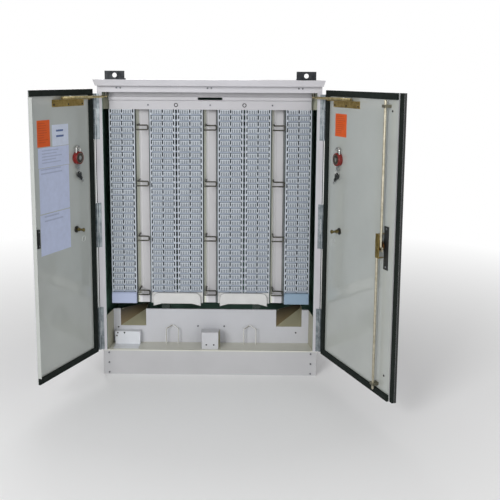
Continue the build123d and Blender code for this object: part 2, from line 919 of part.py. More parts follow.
def padlock_shackle(side):
    x = on_door(side, padlock_slide)
    y = door_inner + padlock_thickness / 2
    foot = padlock_height + padlock_radius
    z0 = padlock_height + padlock_radius / 2
    top = foot + shackle_rise
    points = [(x - shackle_half, y, z0), (x - shackle_half, y, top), (x + shackle_half, y, top),
              (x + shackle_half, y, z0)]
    path = FilletPolyline(*points, radius=shackle_half - touch_gap)
    start = Plane(origin=path @ 0, z_dir=path % 0)
    disc = rod_along_y(x, door_inner, door_inner + padlock_thickness, padlock_height, padlock_radius)
    return sweep(start * Circle(shackle_radius), path=path) - disc


def padlock_hook(side):
    x = on_door(side, padlock_slide)
    top = padlock_height + padlock_radius + shackle_rise - shackle_radius - hook_pin_radius
    return rod_along_y(x, door_inner, door_inner + hook_pin_reach, top, hook_pin_radius)


def key_flat():
    bow = Cylinder(key_bow_radius, key_thickness)
    blade_middle = key_bow_radius + key_blade_length / 2 - touch_gap
    blade = Pos(0, blade_middle, 0) * Box(key_blade_width, key_blade_length, key_thickness)
    hole_place = key_hole_radius + touch_gap - key_bow_radius
    hole = Pos(0, hole_place, 0) * Cylinder(key_hole_radius, key_thickness)
    return Rot(90, 0, 0) * (bow + blade - hole)


def key_places(side):
    x = on_door(side, padlock_slide)
    y = door_inner + padlock_thickness / 2
    upper_z = padlock_height - padlock_radius - key_bow_radius
    hole_drop = key_bow_radius - key_hole_radius - touch_gap
    sag = key_hole_radius - key_ring_wire - key_slack
    ring_z = upper_z - hole_drop - sag - key_ring_radius
    lower_z = ring_z - key_ring_radius - sag - hole_drop
    return x, y, upper_z, ring_z, lower_z


def door_keys(side):
    x, y, upper_z, ring_z, lower_z = key_places(side)
    hang = ring_z - key_ring_radius
    leaning = Pos(x, y, hang) * Rot(0, -side * key_lean, 0) * Pos(0, 0, lower_z - hang)
    return [Pos(x, y, upper_z) * key_flat(), leaning * Rot(0, 180, 0) * key_flat()]


def key_ring(side):
    x, y, upper_z, ring_z, lower_z = key_places(side)
    return Pos(x, y, ring_z) * Rot(0, 90, 0) * Torus(key_ring_radius, key_ring_wire)


def ground_stud(side):
    x = on_door(side, stud_slide)
    y0 = door_inner + stud_disc_thickness
    stud = rod_along_y(x, y0, door_inner + stud_length, stud_height, stud_radius)
    for place in stud_nut_places:
        nut = extrude(RegularPolygon(stud_nut_radius, 6), stud_nut_thickness)
        stud += Pos(x, door_inner + place, stud_height) * Rot(-90, 0, 0) * nut
    return stud


def stud_disc(side):
    x = on_door(side, stud_slide)
    return rod_along_y(x, door_inner, door_inner + stud_disc_thickness, stud_height, stud_disc_radius)


def left_strike():
    x0 = on_door(-1, strike_slide)
    return block(x0, x0 + strike_width, door_inner, door_inner + strike_thickness, strike_low, strike_high)


def screw_on_front(x, y, z):
    head = extrude(RegularPolygon(screw_radius, 6), screw_head)
    return Pos(x, y, z) * Rot(90, 0, 0) * head


def cabinet_screws():
    edge = plinth_half - screw_edge_inset
    heads = [
        screw_on_front(side * edge, front_y, plinth_height * share)
        for side in (-1, 1)
        for share in plinth_screw_shares
    ]
    rail_z = rail_bottom + rail_height * rail_screw_share
    for centre in (-rail_screw_x, 0, rail_screw_x):
        heads += [screw_on_front(centre + i * 2 * screw_radius, front_y, rail_z) for i in (-1, 1)]
    header_z = (header_bottom + header_nose_low) / 2
    for share in header_screw_shares:
        heads.append(screw_on_front(header_half * share, column_front - sheet, header_z))
    for side in (-1, 1):
        heads.append(screw_on_front(side * panel_screw_x, panel_front, chute_sill))
    return heads


def main():
    os.makedirs("parts", exist_ok=True)
    save("plinth", plinth())
    save("floor_pan", floor_pan())
    save("left_side_panel", side_panel(-1))
    save("right_side_panel", side_panel(1))
    save("back_panel", back_panel())
    save("top_rail", top_rail())
    save("roof_cap", roof_cap())
    save("header_panel", header_panel())
    save("header_brackets", header_bracket(-1), header_bracket(1))
    save("block_frame", block_frame())
    save("connector_channels", *[connector_channel(centre) for centre in column_centres])
    for index, centre in enumerate(column_centres, start=1):
        save(f"connector_modules_{index}", *connector_modules(centre))
    save("wire_troughs", *[wire_trough(centre) for centre in trough_centres])
    save("wire_rings", *[wire_ring(x, z) for x in trough_centres for z in ring_heights])
    save("column_caps", column_cap(-1), column_cap(1))
    save("bend_guides", bend_guide(-1), bend_guide(1))
    save("lower_panel", lower_panel())
    save("cable_chutes", cable_chute(-1), cable_chute(1))
    save("terminal_box", terminal_box())
    save("junction_box", junction_box())
    save("wire_hooks", *[wire_hook(centre) for centre in hook_centres])
    save("lifting_lugs", lifting_lug(-1), lifting_lug(1))
    save("cabinet_screws", *cabinet_screws())
    save("stay_pivots", stay_pivot(-1), stay_pivot(1))
    save("hinge_pins", *[hinge_pin(side, z) for side in (-1, 1) for z in hinge_centres])
    for name, side in (("left", -1), ("right", 1)):
        save(f"{name}_frame_hinges", *[frame_leaf(side, z) for z in hinge_centres])
        save(f"{name}_door_hinges", *[swing(door_leaf(side, z), side) for z in hinge_centres])
        save(f"{name}_stay_bracket", swing(stay_bracket(side), side))
        save(f"{name}_stay_arm", stay_arm(side))
        save(f"{name}_padlock", swing(padlock_body(side), side))
        save(f"{name}_padlock_shackle", swing(padlock_shackle(side), side))
        save(f"{name}_keys", *[swing(key, side) for key in [*door_keys(side), key_ring(side)]])
        save(f"{name}_ground_stud", swing(ground_stud(side), side), swing(stud_disc(side), side))
    save("left_door_pan", swing(left_door_pan(), -1))
    save("left_door_liner", swing(left_door_liner(), -1))
    save("left_door_gasket", swing(left_gasket(), -1))
    save("left_strike", swing(left_strike(), -1))
    save("right_door_pan", swing(right_door_pan(), 1))
    save("right_door_liner", swing(right_door_liner(), 1))
    save("right_door_gasket", *[swing(strip, 1) for strip in right_gasket()])
    save("latch_guard", swing(latch_guard(), 1))
    save("latch_cage", swing(latch_cage(), 1))
    save("rod_guides", swing(rod_guide(1, rod_top), 1), swing(rod_guide(-1, rod_bottom), 1))
    save("latch_cam", swing(latch_cam(), 1))
    save("latch_handle", swing(latch_handle() + latch_spindle(), 1))
    save("upper_rod", swing(latch_rod(1, rod_top), 1))
    save("lower_rod", swing(latch_rod(-1, rod_bottom), 1))


main()
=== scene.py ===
import json
import math
import random
import bmesh
import bpy
from mathutils import Matrix, Vector


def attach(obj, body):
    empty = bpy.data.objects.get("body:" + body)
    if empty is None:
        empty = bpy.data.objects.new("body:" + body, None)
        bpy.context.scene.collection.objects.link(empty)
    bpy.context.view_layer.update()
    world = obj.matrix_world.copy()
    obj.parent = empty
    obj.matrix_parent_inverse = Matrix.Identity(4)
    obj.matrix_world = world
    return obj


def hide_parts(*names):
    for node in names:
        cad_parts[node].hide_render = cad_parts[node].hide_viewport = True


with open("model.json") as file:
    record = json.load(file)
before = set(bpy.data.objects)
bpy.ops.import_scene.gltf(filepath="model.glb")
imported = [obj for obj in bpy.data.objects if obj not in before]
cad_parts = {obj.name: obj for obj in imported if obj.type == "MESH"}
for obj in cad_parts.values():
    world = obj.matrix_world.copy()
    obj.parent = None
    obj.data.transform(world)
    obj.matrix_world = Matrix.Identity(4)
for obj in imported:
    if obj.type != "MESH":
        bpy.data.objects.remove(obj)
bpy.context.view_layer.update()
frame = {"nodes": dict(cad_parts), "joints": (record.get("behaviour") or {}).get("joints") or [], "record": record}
nodes = frame["nodes"]
joints = {joint["name"]: joint for joint in frame["joints"]}
mm = 0.001
print("frame loaded with", len(nodes), "nodes")

# places shared with the cabinet's frame, in millimetres
cabinet = {
    "doorInner": -210.0,
    "doorDatum": 507.0,
    "columnFront": -140.0,
    "columnBack": -90.0,
    "columnFoot": 341.0,
    "headerBottom": 1276.0,
    "columns": (-416.0, -225.0, -95.5, 95.5, 225.0, 416.0),
    "columnWidth": 121.0,
    "channelLip": 5.5,
    "headerFace": -142.0,
    "roofFront": -232.0,
    "hingeX": 527.0,
    "hingeHeights": (230.0, 735.0, 1245.0),
    "padlockSlide": 126.0,
    "padlockHeight": 1068.0,
    "rightDoorEdge": -90.9,
    "troughSpacing": 320.5,
}


def screenColour(red, green, blue):
    def linear(value):
        share = value / 255
        return share / 12.92 if share <= 0.04045 else ((share + 0.055) / 1.055) ** 2.4

    return (linear(red), linear(green), linear(blue), 1.0)


def startMaterial(name):
    material = bpy.data.materials.new(name)
    material.use_nodes = True
    tree = material.node_tree
    return material, tree, tree.nodes["Principled BSDF"]


def addNode(tree, kind, settings=None, **inputs):
    node = tree.nodes.new(kind)
    for key, value in (settings or {}).items():
        setattr(node, key, value)
    for key, value in inputs.items():
        node.inputs[key.replace("_", " ")].default_value = value
    return node


def objectNoise(tree, scale, detail=3.0, roughness=0.55, stretch=None):
    place = addNode(tree, "ShaderNodeTexCoord")
    noise = addNode(tree, "ShaderNodeTexNoise", None, Scale=scale, Detail=detail, Roughness=roughness)
    if stretch:
        mapping = addNode(tree, "ShaderNodeMapping", None, Scale=stretch)
        tree.links.new(place.outputs["Object"], mapping.inputs["Vector"])
        tree.links.new(mapping.outputs["Vector"], noise.inputs["Vector"])
    else:
        tree.links.new(place.outputs["Object"], noise.inputs["Vector"])
    return noise.outputs["Fac"]


# the part of a noise's range that is spread over a ramp
noiseLow, noiseHigh = 0.3, 0.7


def rampBetween(tree, source, dark, light, low=noiseLow, high=noiseHigh):
    ramp = addNode(tree, "ShaderNodeValToRGB")
    ramp.color_ramp.elements[0].position = low
    ramp.color_ramp.elements[0].color = dark
    ramp.color_ramp.elements[1].position = high
    ramp.color_ramp.elements[1].color = light
    tree.links.new(source, ramp.inputs["Fac"])
    return ramp.outputs["Color"]


def rangeBetween(tree, source, low, high):
    span = addNode(tree, "ShaderNodeMapRange", None, From_Min=noiseLow, From_Max=noiseHigh,
                   To_Min=low, To_Max=high)
    tree.links.new(source, span.inputs["Value"])
    return span.outputs["Result"]


def shaded(colour, share):
    return tuple(channel * share for channel in colour[:3]) + (1.0,)


def bumpFrom(tree, shader, source, strength, distance):
    bump = addNode(tree, "ShaderNodeBump", None, Strength=strength, Distance=distance)
    tree.links.new(source, bump.inputs["Height"])
    tree.links.new(bump.outputs["Normal"], shader.inputs["Normal"])


# the colour on top is a plain value or the output of a node
def mixOver(tree, factor, under, over):
    mix = addNode(tree, "ShaderNodeMix", {"data_type": "RGBA"})
    tree.links.new(factor, mix.inputs["Factor"])
    tree.links.new(under, mix.inputs["A"])
    if isinstance(over, tuple):
        mix.inputs["B"].default_value = over
    else:
        tree.links.new(over, mix.inputs["B"])
    return mix.outputs["Result"]


def mathNode(tree, operation, *values):
    node = addNode(tree, "ShaderNodeMath", {"operation": operation})
    for place, value in zip(node.inputs, values):
        if isinstance(value, float):
            place.default_value = value
        else:
            tree.links.new(value, place)
    return node.outputs["Value"]


def splitVector(tree, kind, output):
    split = addNode(tree, "ShaderNodeSeparateXYZ")
    tree.links.new(addNode(tree, kind).outputs[output], split.inputs["Vector"])
    return split.outputs


# mottling, gloss and grain of each kind of surface
paint = {
    "mottleScale": 5.0,
    "mottleDetail": 4.0,
    "dark": 0.95,
    "light": 1.02,
    "dust": 0.25,
    "dustColour": screenColour(132, 124, 104),
    "dustNoise": (9.0, 5.0, 0.65),
    "dustFacing": 0.5,
    "smearNoise": (3.2, 4.0, 0.6, (1.0, 1.0, 0.35)),
    "glossBelow": 0.05,
    "glossAbove": 0.09,
    "grainScale": 620.0,
    "grainDetail": 2.0,
    "grainDepth": 0.0004,
    "grain": 0.12,
    "coatRoughness": 0.03,
}
lined = {"glossScale": 3.0, "glossBelow": 0.0, "glossAbove": 0.15}
turned = {
    "mottleScale": 6.0,
    "mottleDetail": 4.0,
    "dark": 0.94,
    "light": 1.03,
    "leastTurn": 0.3,
    "roughness": 0.45,
}
plastic = {
    "mottleScale": 14.0,
    "mottleDetail": 3.0,
    "dark": 0.93,
    "light": 1.04,
    "glossScale": 30.0,
    "glossBelow": 0.06,
    "glossAbove": 0.08,
    "grainScale": 1400.0,
    "grainDetail": 2.0,
    "grainDepth": 0.0002,
    "grain": 0.15,
}
steel = {
    "cloudNoise": (38.0, 5.0, 0.62),
    "cloudRange": (0.32, 0.68),
    "streakNoise": (900.0, 2.0, 0.5, (1.0, 1.0, 0.04)),
    "glossBelow": 0.08,
    "glossAbove": 0.12,
    "grain": 0.08,
    "grainDepth": 0.0002,
}
foam = {
    "mottleScale": 60.0,
    "mottleDetail": 4.0,
    "dark": 0.7,
    "light": 1.4,
    "roughness": 0.78,
    "specular": 0.15,
    "cellScale": 700.0,
    "cell": 0.35,
    "cellDepth": 0.0006,
}
paper = {
    "mottleScale": 45.0,
    "mottleDetail": 5.0,
    "dark": 0.94,
    "light": 1.03,
    "gloss": 0.6,
    "glossScale": 20.0,
    "glossBelow": 0.08,
    "glossAbove": 0.08,
    "grainScale": 260.0,
    "grainDetail": 3.0,
    "grainDepth": 0.0003,
    "grain": 0.1,
}


def mottled(tree, colour, surface):
    mottle = objectNoise(tree, surface["mottleScale"], surface["mottleDetail"])
    return rampBetween(tree, mottle, shaded(colour, surface["dark"]), shaded(colour, surface["light"]))


def glossAround(tree, shader, source, gloss, surface):
    span = rangeBetween(tree, source, gloss - surface["glossBelow"], gloss + surface["glossAbove"])
    tree.links.new(span, shader.inputs["Roughness"])


def grained(tree, shader, strength, surface):
    grain = objectNoise(tree, surface["grainScale"], surface["grainDetail"])
    bumpFrom(tree, shader, grain, strength, surface["grainDepth"])


# baked paint: slight mottling, orange peel, and dust on the faces that look up
def bakedPaint(name, colour, gloss, dust=paint["dust"], peel=paint["grain"], coat=0.0):
    material, tree, shader = startMaterial(name)
    facing = splitVector(tree, "ShaderNodeNewGeometry", "Normal")
    upward = addNode(tree, "ShaderNodeMapRange", None, From_Min=paint["dustFacing"], From_Max=1.0,
                     To_Min=0.0, To_Max=dust)
    tree.links.new(facing["Z"], upward.inputs["Value"])
    patches = objectNoise(tree, *paint["dustNoise"])
    amount = mathNode(tree, "MULTIPLY", upward.outputs["Result"], patches)
    dusty = mixOver(tree, amount, mottled(tree, colour, paint), paint["dustColour"])
    tree.links.new(dusty, shader.inputs["Base Color"])
    glossAround(tree, shader, objectNoise(tree, *paint["smearNoise"]), gloss, paint)
    grained(tree, shader, peel, paint)
    shader.inputs["Coat Weight"].default_value = coat
    shader.inputs["Coat Roughness"].default_value = paint["coatRoughness"]
    return material


# product of tests on the object's own coordinates, where a bar means both sides alike and a
# tilde means alike in each trough
def placeTest(tree, limits):
    place = splitVector(tree, "ShaderNodeTexCoord", "Object")
    half = cabinet["troughSpacing"] * mm / 2
    chosen = None
    for axis, operation, limit in limits:
        source = place[axis.strip("|~")]
        if axis.startswith("|"):
            source = mathNode(tree, "ABSOLUTE", source)
        if axis.startswith("~"):
            source = mathNode(tree, "WRAP", source, half, -half)
        test = mathNode(tree, operation, source, limit)
        chosen = mathNode(tree, "MULTIPLY", chosen, test) if chosen else test
    return chosen


# paint with other coats over it, each where its limits hold
def linedPaint(name, colour, gloss, coats):
    material, tree, shader = startMaterial(name)
    base = mottled(tree, colour, paint)
    for lining, limits in coats:
        base = mixOver(tree, placeTest(tree, limits), base, lining)
    tree.links.new(base, shader.inputs["Base Color"])
    glossAround(tree, shader, objectNoise(tree, lined["glossScale"]), gloss, lined)
    grained(tree, shader, paint["grain"], paint)
    return material


# paint whose faces turned to the right, away from the key lamp, take a painted shade, which changes with the
# height
def shadedSidePaint(name, colour, shadeLow, shadeHigh, lowHigh):
    material, tree, shader = startMaterial(name)
    place = splitVector(tree, "ShaderNodeTexCoord", "Object")
    rise = addNode(tree, "ShaderNodeMapRange", None, From_Min=lowHigh[0], From_Max=lowHigh[1])
    tree.links.new(place["Z"], rise.inputs["Value"])
    # painted shade for the faces turned to the right, ramped by height between its low and high colours
    second = rampBetween(tree, rise.outputs["Result"], shadeLow, shadeHigh, 0.0, 1.0)
    facing = splitVector(tree, "ShaderNodeNewGeometry", "True Normal")
    chosen = mathNode(tree, "GREATER_THAN", facing["X"], turned["leastTurn"])
    both = mixOver(tree, chosen, mottled(tree, colour, turned), second)
    tree.links.new(both, shader.inputs["Base Color"])
    shader.inputs["Roughness"].default_value = turned["roughness"]
    return material


def mouldedPlastic(name, colour, gloss, grain=plastic["grain"]):
    material, tree, shader = startMaterial(name)
    tree.links.new(mottled(tree, colour, plastic), shader.inputs["Base Color"])
    glossAround(tree, shader, objectNoise(tree, plastic["glossScale"]), gloss, plastic)
    grained(tree, shader, grain, plastic)
    return material


# plated steel: fine upright streaks and clouding of the passivation
def platedSteel(name, dark, light, gloss):
    material, tree, shader = startMaterial(name)
    shader.inputs["Metallic"].default_value = 1.0
    cloud = objectNoise(tree, *steel["cloudNoise"])
    tree.links.new(rampBetween(tree, cloud, dark, light, *steel["cloudRange"]), shader.inputs["Base Color"])
    streaks = objectNoise(tree, *steel["streakNoise"])
    glossAround(tree, shader, streaks, gloss, steel)
    bumpFrom(tree, shader, streaks, steel["grain"], steel["grainDepth"])
    return material


def foamRubber(name, colour):
    material, tree, shader = startMaterial(name)
    tree.links.new(mottled(tree, colour, foam), shader.inputs["Base Color"])
    shader.inputs["Roughness"].default_value = foam["roughness"]
    shader.inputs["Specular IOR Level"].default_value = foam["specular"]
    cells = addNode(tree, "ShaderNodeTexVoronoi", None, Scale=foam["cellScale"])
    place = addNode(tree, "ShaderNodeTexCoord")
    tree.links.new(place.outputs["Object"], cells.inputs["Vector"])
    bumpFrom(tree, shader, cells.outputs["Distance"], foam["cell"], foam["cellDepth"])
    return material


def paperSheet(name, colour, gloss=paper["gloss"]):
    material, tree, shader = startMaterial(name)
    tree.links.new(mottled(tree, colour, paper), shader.inputs["Base Color"])
    glossAround(tree, shader, objectNoise(tree, paper["glossScale"]), gloss, paper)
    grained(tree, shader, paper["grain"], paper)
    return material


# where a second coat begins, in metres on the object's own axes
coatEdge = {
    "backInteriorShade": 0.199,
    "sideInteriorShadeX": 0.516,
    "sideInteriorShadeY": 0.1975,
    "seamX": 0.525,
    "seamY": -0.19,
    "panelShade": 0.4817,
    "channelInsideShade": -0.136,
    "troughShadowLift": -0.01,
    "troughWall": -0.022,
    "troughLeftShade": -0.0295,
    "troughRightShade": 0.0245,
    "chuteRise": (0.2, 0.29),
    "floorRise": (0.1, 0.2),
}
# painted shade for the inner faces of the back and sides, so that the interior seen beside the columns stays dark
paintedInteriorShade = screenColour(108, 146, 130)
shadeOlive = screenColour(166, 164, 146)
seamShade = screenColour(62, 66, 70)
bodyColour = screenColour(198, 197, 202)
finishes = {
    "cabinetPaint": bakedPaint("cabinetPaint", bodyColour, 0.34),
    "plinthPaint": bakedPaint("plinthPaint", screenColour(182, 182, 184), 0.42),
    "headerPaint": bakedPaint("headerPaint", screenColour(186, 185, 189), 0.38),
    "floorPaint": bakedPaint("floorPaint", screenColour(208, 208, 198), 0.36, dust=0.3),
    "bracketPaint": bakedPaint("bracketPaint", screenColour(176, 174, 156), 0.4),
    # cable chutes: their walls turned to the right carry painted shade, brown low down and near black at the top
    "chutePaint": shadedSidePaint("chutePaint", screenColour(158, 155, 131), screenColour(136, 120, 90),
                              screenColour(44, 40, 32), coatEdge["chuteRise"]),
    # wire troughs: a painted lift against the columns' cast shadow down the left of each, a lighter olive strip on
    # the left wall that is lifted against the same shadow, and painted shade as dark lines at both edges where
    # each trough meets the columns
    "troughPaint": linedPaint("troughPaint", screenColour(194, 193, 196), 0.4, (
        (screenColour(214, 213, 216), (("~X", "LESS_THAN", coatEdge["troughShadowLift"]),)),
        (screenColour(212, 215, 199), (("~X", "LESS_THAN", coatEdge["troughWall"]),)),
        (screenColour(86, 94, 86), (("~X", "LESS_THAN", coatEdge["troughLeftShade"]),)),
        (screenColour(104, 109, 110), (("~X", "GREATER_THAN", coatEdge["troughRightShade"]),)))),
    # junction box: its side turned to the right carries olive painted shade
    "boxPaint": shadedSidePaint("boxPaint", screenColour(192, 193, 197), screenColour(140, 137, 104),
                            screenColour(140, 137, 104), coatEdge["floorRise"]),
    "linerPaint": bakedPaint("linerPaint", screenColour(178, 182, 178), 0.2, dust=0.2, peel=0.05, coat=1.0),
    # connector channels: painted shade on every face behind their front, standing for the shaded inside
    "channelPaint": linedPaint("channelPaint", screenColour(178, 185, 193), 0.4, (
        (screenColour(58, 66, 72), (("Y", "GREATER_THAN", coatEdge["channelInsideShade"]),)),)),
    # block frame: painted dark green as painted shade, so that it reads as part of the dark interior
    "framePaint": bakedPaint("framePaint", screenColour(46, 60, 54), 0.5, dust=0.2),
    # back and side panels: painted shade on their inner faces; the side panels also carry a painted shadow line at
    # the hinge seam
    "backPaint": linedPaint("backPaint", bodyColour, 0.4, (
        (paintedInteriorShade, (("|Y|", "LESS_THAN", coatEdge["backInteriorShade"]),)),)),
    "sidePaint": linedPaint("sidePaint", bodyColour, 0.4, (
        (paintedInteriorShade, (("|X|", "LESS_THAN", coatEdge["sideInteriorShadeX"]),
                      ("|Y|", "LESS_THAN", coatEdge["sideInteriorShadeY"]))),
        (seamShade, (("|X|", "GREATER_THAN", coatEdge["seamX"]), ("Y", "LESS_THAN", coatEdge["seamY"]))))),
    "panelPaint": linedPaint("panelPaint", screenColour(194, 195, 200), 0.38, (
        (shadeOlive, (("|X|", "GREATER_THAN", coatEdge["panelShade"]),)),)),
    # connector plastics: a light comb, and a cap band painted darker blue-grey, partly its own tone and partly
    # painted shade of its tilted glossy face; contactShade is painted shade in the contact recesses
    "modulePlastic": mouldedPlastic("modulePlastic", screenColour(193, 200, 207), 0.36),
    "bandPlastic": mouldedPlastic("bandPlastic", screenColour(143, 152, 165), 0.22, grain=0.05),
    "contactShade": mouldedPlastic("contactShade", screenColour(70, 78, 90), 0.5),
    "capPlastic": linedPaint("capPlastic", screenColour(170, 180, 206), 0.34,
                             ((screenColour(134, 156, 176), (("X", "GREATER_THAN", 0.0),)),)),
    "guidePlastic": mouldedPlastic("guidePlastic", screenColour(202, 202, 201), 0.36),
    # wire hooks: white, with olive painted shade on the faces turned to the right
    "hookWhite": shadedSidePaint("hookWhite", screenColour(216, 216, 214), screenColour(122, 118, 94),
                             screenColour(112, 108, 84), coatEdge["floorRise"]),
    "terminalPaint": bakedPaint("terminalPaint", screenColour(216, 219, 224), 0.34, dust=0.2),
    "gasketFoam": foamRubber("gasketFoam", screenColour(23, 29, 26)),
    "hingeZinc": platedSteel("hingeZinc", screenColour(112, 120, 124), screenColour(158, 165, 169), 0.42),
    "screwZinc": platedSteel("screwZinc", screenColour(88, 90, 94), screenColour(138, 140, 144), 0.4),
    "darkScrew": platedSteel("darkScrew", screenColour(48, 48, 47), screenColour(76, 74, 70), 0.42),
    "lugSteel": platedSteel("lugSteel", screenColour(36, 38, 40), screenColour(62, 64, 66), 0.5),
    "wirePewter": platedSteel("wirePewter", screenColour(58, 58, 54), screenColour(92, 90, 83), 0.42),
    "yellowZinc": platedSteel("yellowZinc", screenColour(134, 112, 58), screenColour(184, 160, 96), 0.34),
    "studBrass": platedSteel("studBrass", screenColour(104, 94, 62), screenColour(150, 138, 96), 0.36),
    "armSteel": platedSteel("armSteel", screenColour(172, 156, 106), screenColour(222, 208, 162), 0.3),
    "rodZinc": platedSteel("rodZinc", screenColour(158, 152, 132), screenColour(196, 190, 172), 0.42),
    "guideZinc": platedSteel("guideZinc", screenColour(104, 101, 88), screenColour(150, 146, 128), 0.42),
    "bronzeCam": platedSteel("bronzeCam", screenColour(106, 72, 44), screenColour(148, 106, 64), 0.4),
    "blackSatin": mouldedPlastic("blackSatin", screenColour(27, 29, 29), 0.42),
    "redEnamel": mouldedPlastic("redEnamel", screenColour(122, 24, 19), 0.25, grain=0.05),
    "padlockSteel": platedSteel("padlockSteel", screenColour(86, 74, 62), screenColour(144, 130, 112), 0.34),
    "brightSteel": platedSteel("brightSteel", screenColour(160, 160, 158), screenColour(208, 208, 204), 0.26),
    "orangeLabel": paperSheet("orangeLabel", screenColour(214, 86, 16), 0.55),
    "whiteLabel": paperSheet("whiteLabel", screenColour(204, 212, 230)),
    "formLabel": paperSheet("formLabel", screenColour(190, 199, 226)),
    "printInk": paperSheet("printInk", screenColour(166, 175, 202)),
    "blueInk": paperSheet("blueInk", screenColour(84, 104, 150)),
    "orangeInk": paperSheet("orangeInk", screenColour(190, 72, 14), 0.55),
    "clearTie": mouldedPlastic("clearTie", screenColour(196, 200, 198), 0.2, grain=0.05),
}
slotFinish = {
    "cabinet_paint": "cabinetPaint",
    "door_liner_paint": "linerPaint",
    "channel_paint": "channelPaint",
    "module_plastic": "modulePlastic",
    "cap_plastic": "capPlastic",
    "guide_plastic": "guidePlastic",
    "gasket_rubber": "gasketFoam",
    "hinge_zinc": "hingeZinc",
    "screw_zinc": "screwZinc",
    "lug_steel": "lugSteel",
    "wire_steel": "wirePewter",
    "stay_zinc": "yellowZinc",
    "stud_zinc": "studBrass",
    "latch_steel": "bronzeCam",
    "black_plate": "blackSatin",
    "padlock_enamel": "redEnamel",
    "shackle_steel": "brightSteel",
    "key_metal": "brightSteel",
}
nodeFinish = {
    "plinth": "plinthPaint",
    "floor_pan": "floorPaint",
    "header_panel": "headerPaint",
    "left_side_panel": "sidePaint",
    "right_side_panel": "sidePaint",
    "back_panel": "backPaint",
    "block_frame": "framePaint",
    "header_brackets": "bracketPaint",
    "lower_panel": "panelPaint",
    "cable_chutes": "chutePaint",
    "terminal_box": "terminalPaint",
    "junction_box": "boxPaint",
    "wire_troughs": "troughPaint",
    "wire_hooks": "hookWhite",
    "upper_rod": "rodZinc",
    "lower_rod": "rodZinc",
    "rod_guides": "guideZinc",
    "latch_handle": "lugSteel",
    "stay_pivots": "wirePewter",
}
for part in frame["record"]["subparts"]:
    finish = nodeFinish.get(part["node"]) or slotFinish[part["material_slot"]]
    shown = nodes[part["node"]].data
    shown.materials.clear()
    shown.materials.append(finishes[finish])
print("finishes made:", len(finishes))


def doorName(side):
    return "left" if side < 0 else "right"


def doorOpen(side):
    joint = joints[f"{doorName(side)}_door_swing"]
    pin = Matrix.Translation(Vector(joint["pos_m"]))
    turn = Matrix.Rotation(-math.radians(joint["range_deg"][1]), 4, Vector(joint["axis"]))
    return pin @ turn @ pin.inverted()


# the free edge of the right door is as dark as its gasket
freeEdge = {"colour": screenColour(16, 21, 19), "gloss": 0.34, "glossScale": 3.2}


def edgePaint(name, colour, limit):
    material, tree, shader = startMaterial(name)
    opened = doorOpen(1)
    outward = opened.to_3x3() @ Vector((-1.0, 0.0, 0.0))
    place = addNode(tree, "ShaderNodeTexCoord")
    reach = addNode(tree, "ShaderNodeVectorMath", {"operation": "DOT_PRODUCT"})
    tree.links.new(place.outputs["Object"], reach.inputs[0])
    reach.inputs[1].default_value = outward
    threshold = (opened @ Vector((limit * mm, 0.0, 0.0))).dot(outward)
    beyond = mathNode(tree, "GREATER_THAN", reach.outputs["Value"], threshold)
    faced = mixOver(tree, beyond, mottled(tree, colour, paint), freeEdge["colour"])
    tree.links.new(faced, shader.inputs["Base Color"])
    glossAround(tree, shader, objectNoise(tree, freeEdge["glossScale"]), freeEdge["gloss"], paint)
    grained(tree, shader, paint["grain"], paint)
    return material


finishes["edgePaint"] = edgePaint("edgePaint", bodyColour, cabinet["rightDoorEdge"])
nodes["right_door_pan"].data.materials[0] = finishes["edgePaint"]


def doorX(side, slide):
    return side * (cabinet["doorDatum"] - slide)


# faces or edges that meet the vertices, each once
def linked(verts, kind):
    return list(dict.fromkeys(item for vert in verts for item in getattr(vert, kind)))


def addBlock(bm, low, high, bevel=0.0, finish=0, segments=2):
    low, high = Vector(low) * mm, Vector(high) * mm
    place = Matrix.Translation((low + high) / 2) @ Matrix.Diagonal((*(high - low), 1.0))
    made = bmesh.ops.create_cube(bm, size=1.0, matrix=place)["verts"]
    for face in linked(made, "link_faces"):
        face.material_index = finish
    if bevel:
        edges = linked(made, "link_edges")
        bmesh.ops.bevel(bm, geom=edges, offset=bevel * mm, segments=segments, profile=0.5,
                        affect="EDGES", material=-1)


def addRod(bm, start, end, radius, finish=0, sides=20, endRadius=None, bevel=0.0):
    start, end = Vector(start) * mm, Vector(end) * mm
    run = end - start
    turn = run.to_track_quat("Z", "Y").to_matrix().to_4x4()
    place = Matrix.Translation((start + end) / 2) @ turn
    far = radius if endRadius is None else endRadius
    made = bmesh.ops.create_cone(bm, cap_ends=True, segments=sides, radius1=radius * mm, radius2=far * mm,
                                 depth=run.length, matrix=place)["verts"]
    faces = linked(made, "link_faces")
    for face in faces:
        face.material_index = finish
    if bevel:
        rims = dict.fromkeys(edge for face in faces if len(face.verts) > 4 for edge in face.edges)
        bmesh.ops.bevel(bm, geom=list(rims), offset=bevel * mm, segments=2, profile=0.5,
                        affect="EDGES", material=-1)


# coned head with a raised hexagon in its middle
screwHead = {"sides": 16, "topShare": 0.72, "bevel": 0.3, "hexFoot": 0.9, "hexRise": 0.25, "hexShare": 0.34}


def addScrew(bm, place, normal, size, finish=0):
    place, normal = Vector(place), Vector(normal)
    radius, height = size
    addRod(bm, place, place + normal * height, radius, finish, screwHead["sides"],
           radius * screwHead["topShare"], screwHead["bevel"])
    hexFoot = place + normal * height * screwHead["hexFoot"]
    hexTop = place + normal * (height + screwHead["hexRise"])
    addRod(bm, hexFoot, hexTop, radius * screwHead["hexShare"], finish, 6)


smoothAngle = math.radians(32.0)


